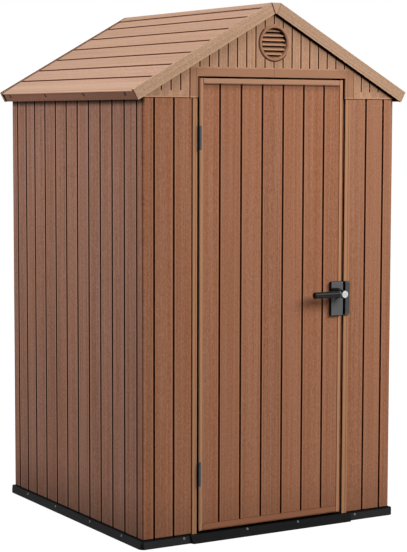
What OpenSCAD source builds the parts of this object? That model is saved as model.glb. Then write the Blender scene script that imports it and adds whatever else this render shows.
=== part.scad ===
// Walk-in tool shed of moulded resin panels: a black floor tray, plank-moulded
// walls, a louvred gable at each end, a pitched roof and one hinged door with a
// lever lock.  X runs along the door front, Y towards the back, Z up.  The
// origin is the middle of the floor tray's underside.  All sizes in millimetres.

/* [Body] */
// Width over the walls, along the door front
body_w = 1144; // [1000:4:1600]
// Depth over the walls, front to back
body_d = 1146; // [900:2:2400]
// Thickness of a wall panel
wall_t = 18; // [14:1:24]
// Height of the wall panels' foot joint above the ground
wall_foot_z = 24; // [18:1:30]
// Height of the gable panels' bottom edge
gable_z = 1689; // [1500:1:1850]
// Rounding of the four upright corners
corner_r = 6; // [2:1:16]

/* [Floor tray] */
// Height of the floor's top face
floor_z = 32; // [28:1:48]
// How far the skirt stands out from the walls at the ground
skirt_out_bottom = 15; // [10:1:24]
// How far the skirt stands out from the walls at its top edge
skirt_out_top = 8; // [5:1:12]
// Width of the lap where one half of the floor runs under the other
floor_lap = 25; // [15:1:60]
// Room each side of a wall panel in its floor channel
channel_clear = 0.5; // [0.3:0.1:1]

/* [Planks] */
// Width of a plank on the side walls
side_plank = 97.8; // [80:0.1:120]
// Width of a plank on the back wall
back_plank = 96; // [80:0.1:120]
// Width of a plank on the corner panels
corner_plank = 84; // [60:1:100]
// Width of a plank on the gables
gable_plank = 41.2; // [30:0.1:60]
// Width of a plank on the door
door_plank = 95; // [80:1:110]
// Width of a plank on the roof, down the slope
roof_plank = 94.4; // [80:0.1:110]
// Width of the groove between planks
groove_w = 7; // [4:0.5:8]
// Depth of the groove between planks
groove_d = 5; // [3:0.5:6]
// Depth of the same groove on the room side
inner_groove_d = 2; // [1:0.5:3]
// Bevel along the edges of a plank
plank_bevel = 1.5; // [0.5:0.5:2]
// Width of the groove between the gables' planks
gable_groove_w = 4.5; // [3:0.5:6]
// Depth of the groove between the gables' planks
gable_groove_d = 4; // [2:0.5:5]
// Width of the groove between the roof's planks
roof_groove_w = 8; // [4:0.5:10]
// Depth of the groove between the roof's planks
roof_groove_d = 4; // [2:0.5:6]

/* [Corner panels] */
// Length of a front corner panel's leg along the side
front_side_leg = 44; // [30:1:80]
// Length of a back corner panel's leg along the side
back_side_leg = 222; // [150:1:300]
// Length of a back corner panel's leg along the back
back_leg = 44; // [30:1:80]
// Width of the part plank next to the corner on a front corner panel
front_corner_plank = 49; // [30:1:80]
// Width of the part plank next to the corner on a back corner panel's side
back_corner_plank = 54; // [30:1:80]

/* [Doorway and door] */
// Width of the doorway
doorway_w = 674; // [600:2:800]
// Height of the top of the doorway
doorway_top = 1768; // [1600:1:1900]
// Width of a jamb's face
jamb_w = 23; // [18:1:40]
// How far a jamb stands out from the planks beside it
jamb_out = 4; // [2:0.5:6]
// Height of the smooth header band above the doorway
band_h = 31; // [20:1:60]
// How far the band reaches past each side of the doorway
band_side = 34; // [24:1:60]
// How far the band stands out from the gable
band_out = 2; // [1:0.5:4]
// How far the band's legs reach into the gap beside the door
leg_in = 3.5; // [1:0.5:4.5]
// Gap between the door and each jamb
door_gap = 10; // [8:0.5:12]
// Gap between the door and the header
door_top_gap = 7; // [5:0.5:12]
// Gap between the door and the floor
door_floor_gap = 7.5; // [5:0.5:12]
// Thickness of the door
door_t = 30; // [24:1:40]
// Width of the door's side rails
stile_w = 17; // [12:1:40]
// Height of the door's top rail
top_rail_h = 19; // [14:1:40]
// Height of the door's bottom rail
bottom_rail_h = 24.5; // [14:0.5:60]
// How far the door's planks lie behind its rails
plank_recess = 2; // [1:0.5:4]
// How far a jamb's stop reaches behind the door
stop_reach = 15; // [10:1:30]
// Thickness of the stop
stop_t = 8; // [5:1:15]
// Room between the shut door and the stop
stop_clear = 5; // [5:0.5:8]

/* [Hinges] */
// Height of a hinge
hinge_h = 91; // [60:1:120]
// Height of the lower hinge's bottom end
lower_hinge_z = 216.5; // [120:0.5:400]
// Height of the upper hinge's bottom end
upper_hinge_z = 1493; // [1200:1:1600]
// Radius of a hinge knuckle
knuckle_r = 6; // [5:0.5:8]
// Radius of a hinge pin
hinge_pin_r = 2.5; // [1.5:0.5:3]
// Thickness of a hinge leaf
leaf_t = 2.5; // [1.5:0.5:3]
// Room between a knuckle and the face of the walls
hinge_clear = 5.5; // [0.5:0.5:8]
// Running clearance between the pin and the knuckle on the door
pin_clear = 0.05; // [0.02:0.01:0.1]
// Room between neighbouring knuckles
knuckle_gap = 0.5; // [0.3:0.1:1]

/* [Lock] */
// Width of the lock's plate
lock_w = 57; // [40:1:80]
// Height of the lock's plate
lock_h = 135; // [100:1:180]
// Height of the plate's bottom edge
lock_z = 835; // [700:1:1000]
// Thickness of the plate and its keeper
lock_t = 14; // [8:1:18]
// Height of the lever above the plate's bottom edge
lever_rise = 89; // [60:1:120]
// Distance of the lever's axis from the plate's outer edge
lever_inset = 28; // [22:1:35]
// Radius of the lever's hub
hub_r = 16.5; // [13:0.5:20]
// How far the hub stands out from the walls
hub_out = 67; // [50:1:80]
// Radius of the lever's bar
lever_r = 13; // [8:0.5:14]
// Length of the lever from its axis to its tip
lever_l = 138; // [100:1:160]
// Radius of the key cylinder's face
cylinder_r = 14; // [10:0.5:15]

/* [Vents] */
// Outer radius of a vent's ring
vent_r = 68; // [50:1:74]
// Width of a vent's ring
vent_ring_w = 11.5; // [8:0.5:16]
// How far a vent's ring stands out from the gable
vent_out = 5; // [3:1:12]
// Flat land left between the ring and the gable's grooves
vent_land = 3; // [1:1:6]
// Distance from louvre to louvre
louvre_pitch = 17.5; // [14:0.1:22]

/* [Roof] */
// Pitch of the roof in degrees
roof_pitch = 29.1; // [22:0.1:36]
// Height of the eave's top edge
eave_z = 1716.6; // [1700:0.1:1860]
// Thickness of a roof panel, square to the slope
roof_t = 18; // [14:1:30]
// How far a roof panel lies below the tops of the barge boards
panel_drop = 2; // [1:0.5:4]
// How far a gable stands out from the wall below it
gable_out = 4; // [1:0.5:6]
// Depth of a barge board, square to the slope
barge_h = 44; // [30:1:60]
// Thickness of a barge board
barge_t = 14; // [12:0.5:30]
// How far the eave's top edge stands out from the wall
eave_out = 48; // [30:1:80]
// Depth of an eave board, square to the slope
eave_h = 43; // [30:1:60]
// Thickness of an eave board
eave_t = 12; // [8:1:16]
// Thickness of a barge board's hollow moulding
barge_skin = 4; // [3:0.5:5]
// Half the width of the ridge's flat top
ridge_flat = 21; // [15:1:40]
// How far the ridge cap reaches to each side of the middle
ridge_cap_half = 57.2; // [50:0.1:90]
// Thickness of the ridge cap's flat top
ridge_cap_t = 4; // [3:1:8]

/* [Hidden] */

$fn = 48;
BIG = 4000;                    // longer than the shed in any direction
seat = 0.1;                    // room left between pieces that seat on a slope
half_w = body_w / 2;
half_d = body_d / 2;
in_w = half_w - wall_t;        // inner face of a side wall
in_d = half_d - wall_t;        // inner face of the front and back walls
front_y = -half_d;             // outer face of the front wall
WOOD = [0.56, 0.37, 0.28];
LIGHT = [0.70, 0.53, 0.41];
SMOOTH = [0.62, 0.45, 0.34];
BLACK = [0.13, 0.13, 0.13];

// ---- Roof geometry: s runs down the slope from the apex, t is square to it
slope = tan(roof_pitch);
eave_half = half_w + eave_out;                 // the eave's top edge
apex_z = eave_z + eave_half * slope;           // where the slopes would meet
ridge_z = apex_z - ridge_flat * slope;         // the ridge's flat top
s_tip = eave_half / cos(roof_pitch);           // the eave's edge, down the slope
roof_y = half_d + gable_out;                   // the roof panels' ends
roof_under = roof_t + panel_drop;              // from the barges' tops to the walls
barge_low = apex_z - barge_h / cos(roof_pitch); // where the barges' lower edges meet

// A right-hand piece drawn in the slope's own frame, put in its place
module on_slope() {
    translate([0, 0, apex_z]) rotate([0, roof_pitch, 0]) children();
}

// A child for the right side, or its mirror image for the left
module side_of(s) {
    if (s > 0) children();
    else mirror([1, 0, 0]) children();
}

// Everything lower than both slopes by a distance square to them
module under_roof(drop = roof_under) {
    intersection() {
        on_slope() translate([-BIG, -BIG, -drop - BIG]) cube([2 * BIG, 2 * BIG, BIG]);
        mirror([1, 0, 0])
            on_slope() translate([-BIG, -BIG, -drop - BIG]) cube([2 * BIG, 2 * BIG, BIG]);
    }
}

// Section of a groove with bevelled edges: its mouth is the X axis, and it
// is cut towards -Y
module groove(w, d, bevel = plank_bevel) {
    over = bevel + 1;
    polygon([
        [-w / 2 - over, 1], [-w / 2, -bevel], [-w / 2, -d],
        [w / 2, -d], [w / 2, -bevel], [w / 2 + over, 1]
    ]);
}

// ---- Walls in plan
// A rectangle about the middle with rounded corners
module round_rect(w, d, r) {
    union() {
        square([w - 2 * r, d], center = true);
        square([w, d - 2 * r], center = true);
        for (x = [-1, 1], y = [-1, 1])
            translate([x * (w / 2 - r), y * (d / 2 - r)]) circle(r);
    }
}

// The wall's ring in plan, from its outer to its inner face
module wall_ring() {
    difference() {
        round_rect(body_w, body_d, corner_r);
        square([2 * in_w, 2 * in_d], center = true);
    }
}

// Grooves of a wall along Y at x = half_w, at each y of a list
module side_grooves(ys) {
    for (y = ys) {
        translate([half_w, y]) rotate(-90) groove(groove_w, groove_d);
        translate([in_w, y]) rotate(90) groove(groove_w, inner_groove_d);
    }
}

// Grooves of a wall along X at y = half_d, at each x of a list
module end_grooves(xs) {
    for (x = xs) {
        translate([x, half_d]) groove(groove_w, groove_d);
        translate([x, in_d]) rotate(180) groove(groove_w, inner_groove_d);
    }
}

// ---- Floor tray, in two halves that lap at the middle
skirt_w = body_w + 2 * skirt_out_bottom;
skirt_d = body_d + 2 * skirt_out_bottom;
skirt_r = corner_r + skirt_out_bottom;
lap_z = floor_z / 2 - 2;                       // top of the lap's lower tongue

// The tray's outline, its four sides leaning in towards the top
module tray_block() {
    intersection() {
        linear_extrude(floor_z) round_rect(skirt_w, skirt_d, skirt_r);
        rotate([90, 0, 0]) linear_extrude(2 * BIG, center = true)
            skirt_section(half_w);
        rotate([90, 0, 90]) linear_extrude(2 * BIG, center = true)
            skirt_section(half_d);
    }
}

// Upright section of the tray through a wall at distance h from the middle
module skirt_section(h) {
    polygon([
        [-h - skirt_out_bottom, 0], [h + skirt_out_bottom, 0],
        [h + skirt_out_top, floor_z], [-h - skirt_out_top, floor_z]
    ]);
}

// The channel that the wall panels stand in
module foot_channel() {
    translate([0, 0, wall_foot_z]) linear_extrude(BIG) difference() {
        round_rect(body_w + 2 * channel_clear, body_d + 2 * channel_clear,
                   corner_r + channel_clear);
        square([2 * (in_w - channel_clear), 2 * (in_d - channel_clear)], center = true);
        translate([-jamb_x + channel_clear, -half_d - 10])
            square([2 * (jamb_x - channel_clear), wall_t + 20]);
    }
}

// Pockets between the ribs of the underside, clear of the channel and the lap
pocket_x0 = floor_lap + 12;
pocket_nx = 4;
pocket_ny = 8;
rib_w = 8;
floor_skin = 8;
module rib_pockets() {
    w = (in_w - channel_clear - rib_w - pocket_x0) / pocket_nx;
    d = 2 * (in_d - channel_clear - rib_w) / pocket_ny;
    for (i = [0:pocket_nx - 1], j = [-pocket_ny / 2:pocket_ny / 2 - 1])
        translate([pocket_x0 + i * w, j * d + rib_w / 2, -1])
            cube([w - rib_w, d - rib_w, floor_z - floor_skin + 1]);
}

// One half of the tray: the right half carries the tongue of the lap
module floor_half(s) {
    color(BLACK) difference() {
        tray_block();
        foot_channel();
        side_of(s) rib_pockets();
        if (s > 0) {
            translate([-BIG, -BIG, lap_z]) cube([BIG, 2 * BIG, BIG]);
            translate([-BIG - floor_lap, -BIG, -1]) cube([BIG, 2 * BIG, BIG]);
        } else {
            translate([0, -BIG, -1]) cube([BIG, 2 * BIG, BIG]);
            translate([-floor_lap, -BIG, -1]) cube([BIG, 2 * BIG, lap_z + 1]);
        }
    }
}

module floor_left() { floor_half(-1); }
module floor_right() { floor_half(1); }

// The ramped sill on the tray's front, ribbed along its face
sill_half = 372;
sill_bevel = 7;                                // its ends run in towards the ground
sill_drop = 1;                                 // below the floor's top face
sill_out = 15;                                 // beyond the skirt at the ground
sill_out_top = 6;
sill_rib_n = 3;
sill_rib_w = 2.5;
sill_rib_d = 1;
module threshold_sill() {
    z1 = floor_z - sill_drop;
    lean = (skirt_out_bottom - skirt_out_top) * z1 / floor_z;
    y0 = front_y - skirt_out_bottom;
    face_top = [y0 + lean - sill_out_top, z1];
    face_foot = [y0 - sill_out, 0];
    step = (face_foot - face_top) / (sill_rib_n + 1);
    turn = atan2(step.y, step.x);
    color(BLACK) intersection() {
        translate([-sill_half, 0, 0]) rotate([90, 0, 90]) linear_extrude(2 * sill_half)
            difference() {
                polygon([[y0, 0], [y0 + lean, z1], face_top, face_foot]);
                for (i = [1:sill_rib_n])
                    translate(face_top + i * step) rotate(turn)
                        translate([-sill_rib_w / 2, -sill_rib_d])
                            square([sill_rib_w, 2 * sill_rib_d]);
            }
        translate([0, 0, -1]) linear_extrude(floor_z) polygon([
            [-sill_half, y0 + lean], [-sill_half, y0], [sill_bevel - sill_half, y0 - sill_out],
            [sill_half - sill_bevel, y0 - sill_out], [sill_half, y0], [sill_half, y0 + lean]
        ]);
    }
}

// ---- Corner panels
jamb_x = doorway_w / 2 + jamb_w;               // where the front planks begin
front_seams = [
    for (x = half_w - front_corner_plank; x > jamb_x + corner_plank / 2; x = x - corner_plank) x
];
back_seams = [
    for (y = half_d - back_corner_plank; y > half_d - back_side_leg + corner_plank / 2;
         y = y - corner_plank) y
];
front_leg_y = half_d - front_side_leg;         // end of the side leg
back_leg_y = half_d - back_side_leg;
back_leg_x = half_w - back_leg;

// Plan of the right front corner panel, drawn at the back and mirrored
module front_corner_plan() {
    mirror([0, 1]) difference() {
        intersection() {
            wall_ring();
            union() {
                translate([jamb_x, in_d - 1]) square([BIG, BIG]);
                translate([in_w - 1, front_leg_y]) square([BIG, BIG]);
            }
        }
        end_grooves(front_seams);
        side_grooves([front_leg_y]);
    }
}

// Plan of the right back corner panel
module back_corner_plan() {
    difference() {
        intersection() {
            wall_ring();
            union() {
                translate([back_leg_x, in_d - 1]) square([BIG, BIG]);
                translate([in_w - 1, back_leg_y]) square([BIG, BIG]);
            }
        }
        end_grooves([back_leg_x]);
        side_grooves(concat([back_leg_y], back_seams));
    }
}

// Where a gable stands on the end walls, with a small rebate under its outer
// edge: s is -1 at the front, 1 at the back
edge_slot = 3;
module gable_zone(s) {
    mirror([0, s > 0 ? 0 : 1, 0]) {
        translate([-BIG, in_d, gable_z]) cube([2 * BIG, BIG, BIG]);
        translate([-BIG, half_d - edge_slot, gable_z - edge_slot]) cube([2 * BIG, BIG, BIG]);
    }
}

module corner_front(s) {
    color(WOOD) side_of(s) difference() {
        intersection() {
            translate([0, 0, wall_foot_z]) linear_extrude(BIG) front_corner_plan();
            under_roof();
        }
        gable_zone(-1);
    }
}

module corner_back(s) {
    color(WOOD) side_of(s) difference() {
        intersection() {
            translate([0, 0, wall_foot_z]) linear_extrude(BIG) back_corner_plan();
            under_roof();
        }
        gable_zone(1);
    }
}

module corner_front_left() { corner_front(-1); }
module corner_front_right() { corner_front(1); }
module corner_back_left() { corner_back(-1); }
module corner_back_right() { corner_back(1); }

// ---- Wall panels between the corner panels
side_y0 = -front_leg_y;
side_y1 = back_leg_y;
side_n = round((side_y1 - side_y0) / side_plank);
side_step = (side_y1 - side_y0) / side_n;

module wall_side(s) {
    color(WOOD) side_of(s) intersection() {
        translate([0, 0, wall_foot_z]) linear_extrude(BIG) difference() {
            translate([in_w, side_y0]) square([wall_t, side_y1 - side_y0]);
            side_grooves([for (i = [0:side_n]) side_y0 + i * side_step]);
        }
        under_roof();
    }
}

module wall_left() { wall_side(-1); }
module wall_right() { wall_side(1); }

back_n = round(2 * back_leg_x / back_plank);
back_step = 2 * back_leg_x / back_n;

module wall_back() {
    color(WOOD) difference() {
        translate([0, 0, wall_foot_z]) linear_extrude(gable_z - wall_foot_z) difference() {
            translate([-back_leg_x, in_d]) square([2 * back_leg_x, wall_t]);
            end_grooves([for (i = [0:back_n]) -back_leg_x + i * back_step]);
        }
        gable_zone(1);
    }
}

// ---- Door frame
stop_y = front_y + door_t + stop_clear;        // front face of the door stop
frame_y = stop_y + stop_t;                     // back face of the frame
doorway_half = doorway_w / 2;
header_rail_h = 32;

// A jamb: two beads stand out along its face, its stop reaches behind the door
bead_in = 8;                                   // width of the bead by the door
bead_out = 6;                                  // width of the bead by the planks
bead_d = 1.5;                                  // depth of the flute between them
bead_edge = 1.5;                               // bevel of the face's edges
module door_jamb(s) {
    face = front_y - jamb_out;
    color(SMOOTH) side_of(s) difference() {
        translate([0, 0, floor_z]) linear_extrude(doorway_top - floor_z) polygon([
            [doorway_half, face + bead_edge], [doorway_half + bead_edge, face],
            [doorway_half + bead_in, face], [doorway_half + bead_in + bead_d, face + bead_d],
            [jamb_x - bead_out - bead_d, face + bead_d], [jamb_x - bead_out, face],
            [jamb_x - bead_edge, face], [jamb_x, face + bead_edge],
            [jamb_x, frame_y], [doorway_half - stop_reach, frame_y],
            [doorway_half - stop_reach, stop_y], [doorway_half, stop_y]
        ]);
        gable_zone(-1);
    }
}

module door_jamb_left() { door_jamb(-1); }
module door_jamb_right() { door_jamb(1); }

// The rail behind the two front gable halves, with the stop for the door's top
module header_rail() {
    color(SMOOTH) translate([-jamb_x, 0, 0]) rotate([90, 0, 90])
        linear_extrude(2 * jamb_x) polygon([
            [-in_d, doorway_top], [frame_y, doorway_top],
            [frame_y, doorway_top + header_rail_h], [-in_d, doorway_top + header_rail_h]
        ]);
}

// ---- Gables
header_top = doorway_top + band_h;             // top of the smooth header band
band_half = doorway_half + band_side;          // outer edge of the band's legs
gable_y = half_d + gable_out;                  // outer face of a gable
groove_foot = 4;                               // from the band up to the grooves
side_groove_foot = 26;                         // from the gable's edge up to the grooves
seam_w = 1.2;                                  // the line where the two halves meet
seam_d = 1;
vent_share = 0.466;                            // between the header and the barges
vent_z = header_top + vent_share * (barge_low - header_top);
vent_bore_r = vent_r - vent_ring_w;
vent_collar_t = 3;
vent_hole_r = vent_bore_r + vent_collar_t;

// Right half of a gable, to be stood at the back or mirrored to the front
module gable_block() {
    intersection() {
        translate([0, in_d, gable_z]) cube([half_w, wall_t + gable_out, BIG]);
        linear_extrude(BIG) round_rect(body_w, 2 * gable_y, corner_r);
        under_roof();
    }
}

// Grooves at multiples of the plank width from x0 to x1, from z upwards,
// with a round land kept about the vent
module gable_grooves(x0, x1, z) {
    difference() {
        for (i = [0:floor(half_w / gable_plank)])
            if (i * gable_plank >= x0 && i * gable_plank < x1)
                translate([i * gable_plank, gable_y, z]) linear_extrude(BIG)
                    groove(gable_groove_w, gable_groove_d, plank_bevel / 2);
        vent_bore(vent_r + vent_land);
    }
}

// A round hole through a gable, about the vent's axis
module vent_bore(r) {
    translate([0, gable_y + BIG / 2, vent_z]) rotate([90, 0, 0]) cylinder(h = BIG, r = r);
}

module gable_back(s) {
    color(LIGHT) side_of(s) difference() {
        gable_block();
        gable_grooves(0, half_w - corner_r, gable_z + side_groove_foot);
        vent_bore(vent_hole_r);
    }
}

module gable_front(s) {
    color(LIGHT) mirror([0, 1, 0]) side_of(s) difference() {
        union() {
            gable_block();
            intersection() {
                translate([0, gable_y - 1, gable_z])
                    cube([band_half, band_out + 1, header_top - gable_z]);
                under_roof(barge_h + seat);
            }
        }
        translate([-1, 0, gable_z - 1])
            cube([doorway_half - leg_in + 1, BIG, doorway_top - gable_z + 1]);
        gable_grooves(0, band_half - gable_groove_w, header_top + groove_foot);
        gable_grooves(band_half + gable_groove_w, half_w - corner_r,
                      gable_z + side_groove_foot);
        translate([band_half, gable_y - gable_groove_d, gable_z - 1])
            cube([gable_groove_w, BIG, header_top + groove_foot - gable_z + 1]);
        for (x = [-seam_w / 2, doorway_half + bead_in])
            translate([x, gable_y + band_out - seam_d, gable_z - 1])
                cube([seam_w, BIG, header_top - gable_z + 1]);
        vent_bore(vent_hole_r);
    }
}

module gable_front_left() { gable_front(-1); }
module gable_front_right() { gable_front(1); }
module gable_back_left() { gable_back(-1); }
module gable_back_right() { gable_back(1); }

// ---- Vents: a proud ring with a collar through the gable and slanting louvres
vent_clear = 0.5;                              // between the collar and its hole
ring_bevel = 3;
louvre_t = 3;
lip_r = 2.2;                                   // the round lower edge of a louvre
lip_in = 2;                                    // the lips lie behind the gable's face
louvre_rise = 11;
louvre_run = 9;
lip_z = 9.7;                                   // the middle lip above the vent's axis

// Section of one louvre, its lip at the origin
module louvre_section() {
    circle(lip_r);
    polygon([
        [0, lip_r], [-louvre_run, louvre_rise], [-louvre_run, louvre_rise - louvre_t],
        [0, -lip_r]
    ]);
}

module vent_part() {
    collar_r = vent_hole_r - vent_clear;
    translate([0, gable_y, vent_z]) rotate([-90, 0, 0]) rotate_extrude() polygon([
        [vent_bore_r, -wall_t], [collar_r, -wall_t], [collar_r, 0], [vent_r, 0],
        [vent_r, vent_out - ring_bevel], [vent_r - ring_bevel, vent_out],
        [vent_bore_r + ring_bevel, vent_out], [vent_bore_r, vent_out - ring_bevel]
    ]);
    intersection() {
        translate([0, gable_y, vent_z]) rotate([90, 0, 0])
            cylinder(h = wall_t, r = vent_bore_r + seat);
        for (z = [lip_z - 4 * louvre_pitch:louvre_pitch:vent_bore_r])
            translate([-vent_r, gable_y - lip_in - lip_r, vent_z + z])
                rotate([90, 0, 90]) linear_extrude(2 * vent_r) louvre_section();
    }
}

module vent_front() { color(LIGHT) mirror([0, 1, 0]) vent_part(); }
module vent_back() { color(LIGHT) vent_part(); }

// ---- Roof
panel_cut_z = ridge_z - ridge_cap_t;           // the panels' flat under the cap
s_panel = s_tip - eave_t;                      // where the eave board begins
cap_s = ridge_cap_half / cos(roof_pitch);
nose_t = 6;                                    // the panel's lip over the eave board
nose_r = 2.5;
swell_l = 60;                                  // the last stretch rounds off
swell_r = 900;
eave_plank = 103.3;                            // from the eave to the lowest groove

// Section of a roof panel across the slope: s to the right, t upwards
module roof_section() {
    top = -panel_drop;
    intersection() {
        union() {
            translate([-roof_under, -roof_under]) square([s_panel + roof_under, roof_t]);
            translate([0, top - nose_t]) square([s_tip - nose_r, nose_t]);
            translate([s_tip - nose_r, top - nose_t]) square([nose_r, nose_t - nose_r]);
            translate([s_tip - nose_r, top - nose_r]) circle(nose_r);
        }
        union() {
            translate([-BIG, -BIG]) square([BIG + s_tip - swell_l, 2 * BIG]);
            translate([s_tip - swell_l, top - swell_r]) circle(swell_r, $fn = 96);
        }
    }
}

// Grooves along a roof panel in the same section, and a narrow one by the cap
groove_end = 12;                               // left plain at each end of the panel
cap_groove = 3;
module roof_grooves() {
    for (x = [s_tip - eave_plank:-roof_plank:cap_s + 2 * roof_groove_w])
        translate([x, -panel_drop]) groove(roof_groove_w, roof_groove_d);
    translate([cap_s + cap_groove / 2, -panel_drop - cap_groove])
        square([cap_groove, 2 * cap_groove]);
}

module roof_half(s) {
    color(LIGHT) side_of(s) difference() {
        on_slope() rotate([90, 0, 0]) linear_extrude(2 * roof_y, center = true)
            roof_section();
        on_slope() rotate([90, 0, 0])
            linear_extrude(2 * (roof_y - groove_end), center = true) roof_grooves();
        translate([-BIG, -BIG, 0]) cube([BIG, 2 * BIG, BIG]);
        translate([-BIG, -BIG, panel_cut_z]) cube([2 * BIG, 2 * BIG, BIG]);
    }
}

module roof_left() { roof_half(-1); }
module roof_right() { roof_half(1); }

// The cap over the joint of the two panels, flat on top
module ridge_cap() {
    lift = (panel_drop - seat) / cos(roof_pitch);
    flat = panel_cut_z + seat;                 // the cap's underside in the middle
    edge = [ridge_cap_half, apex_z - ridge_cap_half * slope];
    foot = edge - (panel_drop - seat) * [sin(roof_pitch), cos(roof_pitch)];
    right = [[(apex_z - lift - flat) / slope, flat], foot, edge, [ridge_flat, ridge_z]];
    left = [for (i = [len(right) - 1:-1:0]) [-right[i].x, right[i].y]];
    color(LIGHT) rotate([90, 0, 0])
        linear_extrude(2 * roof_y, center = true) polygon(concat(right, left));
}

// The wedge between the two barge boards
wedge_bottom = 4;
wedge_gap = 0.8;                               // the line beside each barge board
wedge_out = 2;                                 // beyond the barge boards
wedge_z = barge_low - wedge_bottom * slope;

module ridge_end(s) {
    y = roof_y + (barge_t + wedge_out) / 2;
    color(LIGHT) translate([0, s * y, 0]) rotate([90, 0, 0])
        linear_extrude(barge_t + wedge_out, center = true) polygon([
            [wedge_gap - ridge_flat, ridge_z], [ridge_flat - wedge_gap, ridge_z],
            [wedge_bottom - wedge_gap, wedge_z], [wedge_gap - wedge_bottom, wedge_z]
        ]);
}

module ridge_end_front() { ridge_end(-1); }
module ridge_end_back() { ridge_end(1); }

// A barge board, moulded hollow and open below: x is -1 on the left, y is -1
// at the front, where a slot parts the skin from the eave's end
barge_s0 = 36;                                 // solid from the ridge to here
barge_slot = 4;
module barge(x, y) {
    tip = [eave_half, eave_z];
    hollow = barge_t - barge_skin;
    y0 = y > 0 ? roof_y - 1 : -roof_y - hollow;
    color(LIGHT) side_of(x) difference() {
        translate([0, y * (roof_y + barge_t / 2), 0]) rotate([90, 0, 0])
            linear_extrude(barge_t, center = true) polygon([
                [ridge_flat, ridge_z], tip,
                tip - barge_h * [sin(roof_pitch), cos(roof_pitch)], [wedge_bottom, wedge_z]
            ]);
        on_slope() translate([barge_s0, y0, -BIG])
            cube([s_tip - barge_skin - barge_s0, hollow + 1, BIG - barge_skin]);
        if (y < 0) on_slope() translate([s_tip - 2 * barge_skin, y0, -BIG])
            cube([BIG, barge_slot, BIG - barge_skin]);
    }
}

module barge_front_left() { barge(-1, -1); }
module barge_front_right() { barge(1, -1); }
module barge_back_left() { barge(-1, 1); }
module barge_back_right() { barge(1, 1); }

// The board along an eave, under the panel's lip.  It meets the front barge
// board and stops a little short of the back one
eave_in = 1.5;                                 // its face lies behind the lip
eave_bevel = 1.5;                              // along its top edge
eave_short = 8;
module eave(s) {
    w = eave_t - eave_in;
    h = eave_h - panel_drop - nose_t;
    color(LIGHT) side_of(s) on_slope() translate([s_panel, roof_y - eave_short, -eave_h])
        rotate([90, 0, 0]) linear_extrude(2 * roof_y - eave_short)
            polygon([[0, 0], [w, 0], [w, h - eave_bevel], [w - eave_bevel, h], [0, h]]);
}

module eave_left() { eave(-1); }
module eave_right() { eave(1); }

// A folded steel beam under the ridge, from gable to gable
beam_half = 20;
beam_drop = 49;
beam_t = 2;
module ridge_beam() {
    top = apex_z - (roof_under + seat) / cos(roof_pitch);
    inner = top - beam_t / cos(roof_pitch);
    color("silver") rotate([90, 0, 0]) linear_extrude(2 * in_d, center = true)
        difference() {
            beam_section(top, beam_half, top - beam_drop);
            beam_section(inner, beam_half - beam_t, top - beam_drop + beam_t);
        }
}

// A box whose top has the roof's slopes: its peak, half width and bottom
module beam_section(peak, half, bottom) {
    polygon([
        [-half, peak - half * slope], [0, peak], [half, peak - half * slope],
        [half, bottom], [-half, bottom]
    ]);
}

// ---- Hinges
door_half = doorway_half - door_gap;
hinge_x = -doorway_half + door_gap / 2;
hinge_out = knuckle_r + hinge_clear;
hinge_y = front_y - hinge_out;
leaf_depth = door_t - 2;                       // how far a leaf reaches into the gap
knuckle_h = (hinge_h - 2 * knuckle_gap) / 3;
knuckle_step = knuckle_h + knuckle_gap;

// A leaf with its wings from the knuckles at the heights of a list.
// side is -1 for the leaf on the frame and 1 for the leaf on the door
module hinge_leaf(side, z, steps) {
    x0 = side < 0 ? -doorway_half : -door_half - leaf_t;
    difference() {
        union() {
            translate([x0, front_y, z]) cube([leaf_t, leaf_depth, hinge_h]);
            for (i = steps) translate([0, 0, z + i * knuckle_step]) {
                translate([min(hinge_x, x0), hinge_y, 0])
                    cube([door_gap / 2, hinge_out, knuckle_h]);
                translate([hinge_x, hinge_y, 0]) cylinder(h = knuckle_h, r = knuckle_r);
            }
        }
        if (side > 0)
            translate([hinge_x, hinge_y, z - 1])
                cylinder(h = hinge_h + 2, r = hinge_pin_r + pin_clear);
    }
}

module hinge_frame(z) {
    color(BLACK) {
        hinge_leaf(-1, z, [0, 2]);
        translate([hinge_x, hinge_y, z]) cylinder(h = hinge_h, r = hinge_pin_r);
    }
}

module hinge_door(z) { color(BLACK) hinge_leaf(1, z, [1]); }

module hinge_top_frame() { hinge_frame(upper_hinge_z); }
module hinge_bottom_frame() { hinge_frame(lower_hinge_z); }
module hinge_top_door() { hinge_door(upper_hinge_z); }
module hinge_bottom_door() { hinge_door(lower_hinge_z); }

// ---- Door
door_z0 = floor_z + door_floor_gap;
door_z1 = doorway_top - door_top_gap;
panel_half = door_half - stile_w;
rail_web = 3;                                  // a rail's thickness over the panel's end
rail_out = 1;                                  // a rail stands out from the stiles
rail_corner = 6;                               // rounding of a rail's inner corners
door_bevel = 3;
door_line = 7;                                 // from a stile's edge to its moulded line
line_d = 1;
end_bevel = 5;                                 // height of the bevel at the door's ends
door_grooves = [for (x = door_plank / 2; x < panel_half - door_plank / 2; x = x + door_plank) x];

module door_panel() {
    y0 = front_y + plank_recess;
    t = door_t - 2 * plank_recess;
    z0 = door_z0 + rail_web;
    color(WOOD) translate([0, 0, z0]) linear_extrude(door_z1 - rail_web - z0) difference() {
        translate([-panel_half, y0]) square([2 * panel_half, t]);
        for (x = door_grooves, m = [0, 1]) mirror([m, 0]) {
            translate([x, y0]) rotate(180) groove(groove_w, groove_d);
            translate([x, y0 + t]) groove(groove_w, inner_groove_d);
        }
    }
}

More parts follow.
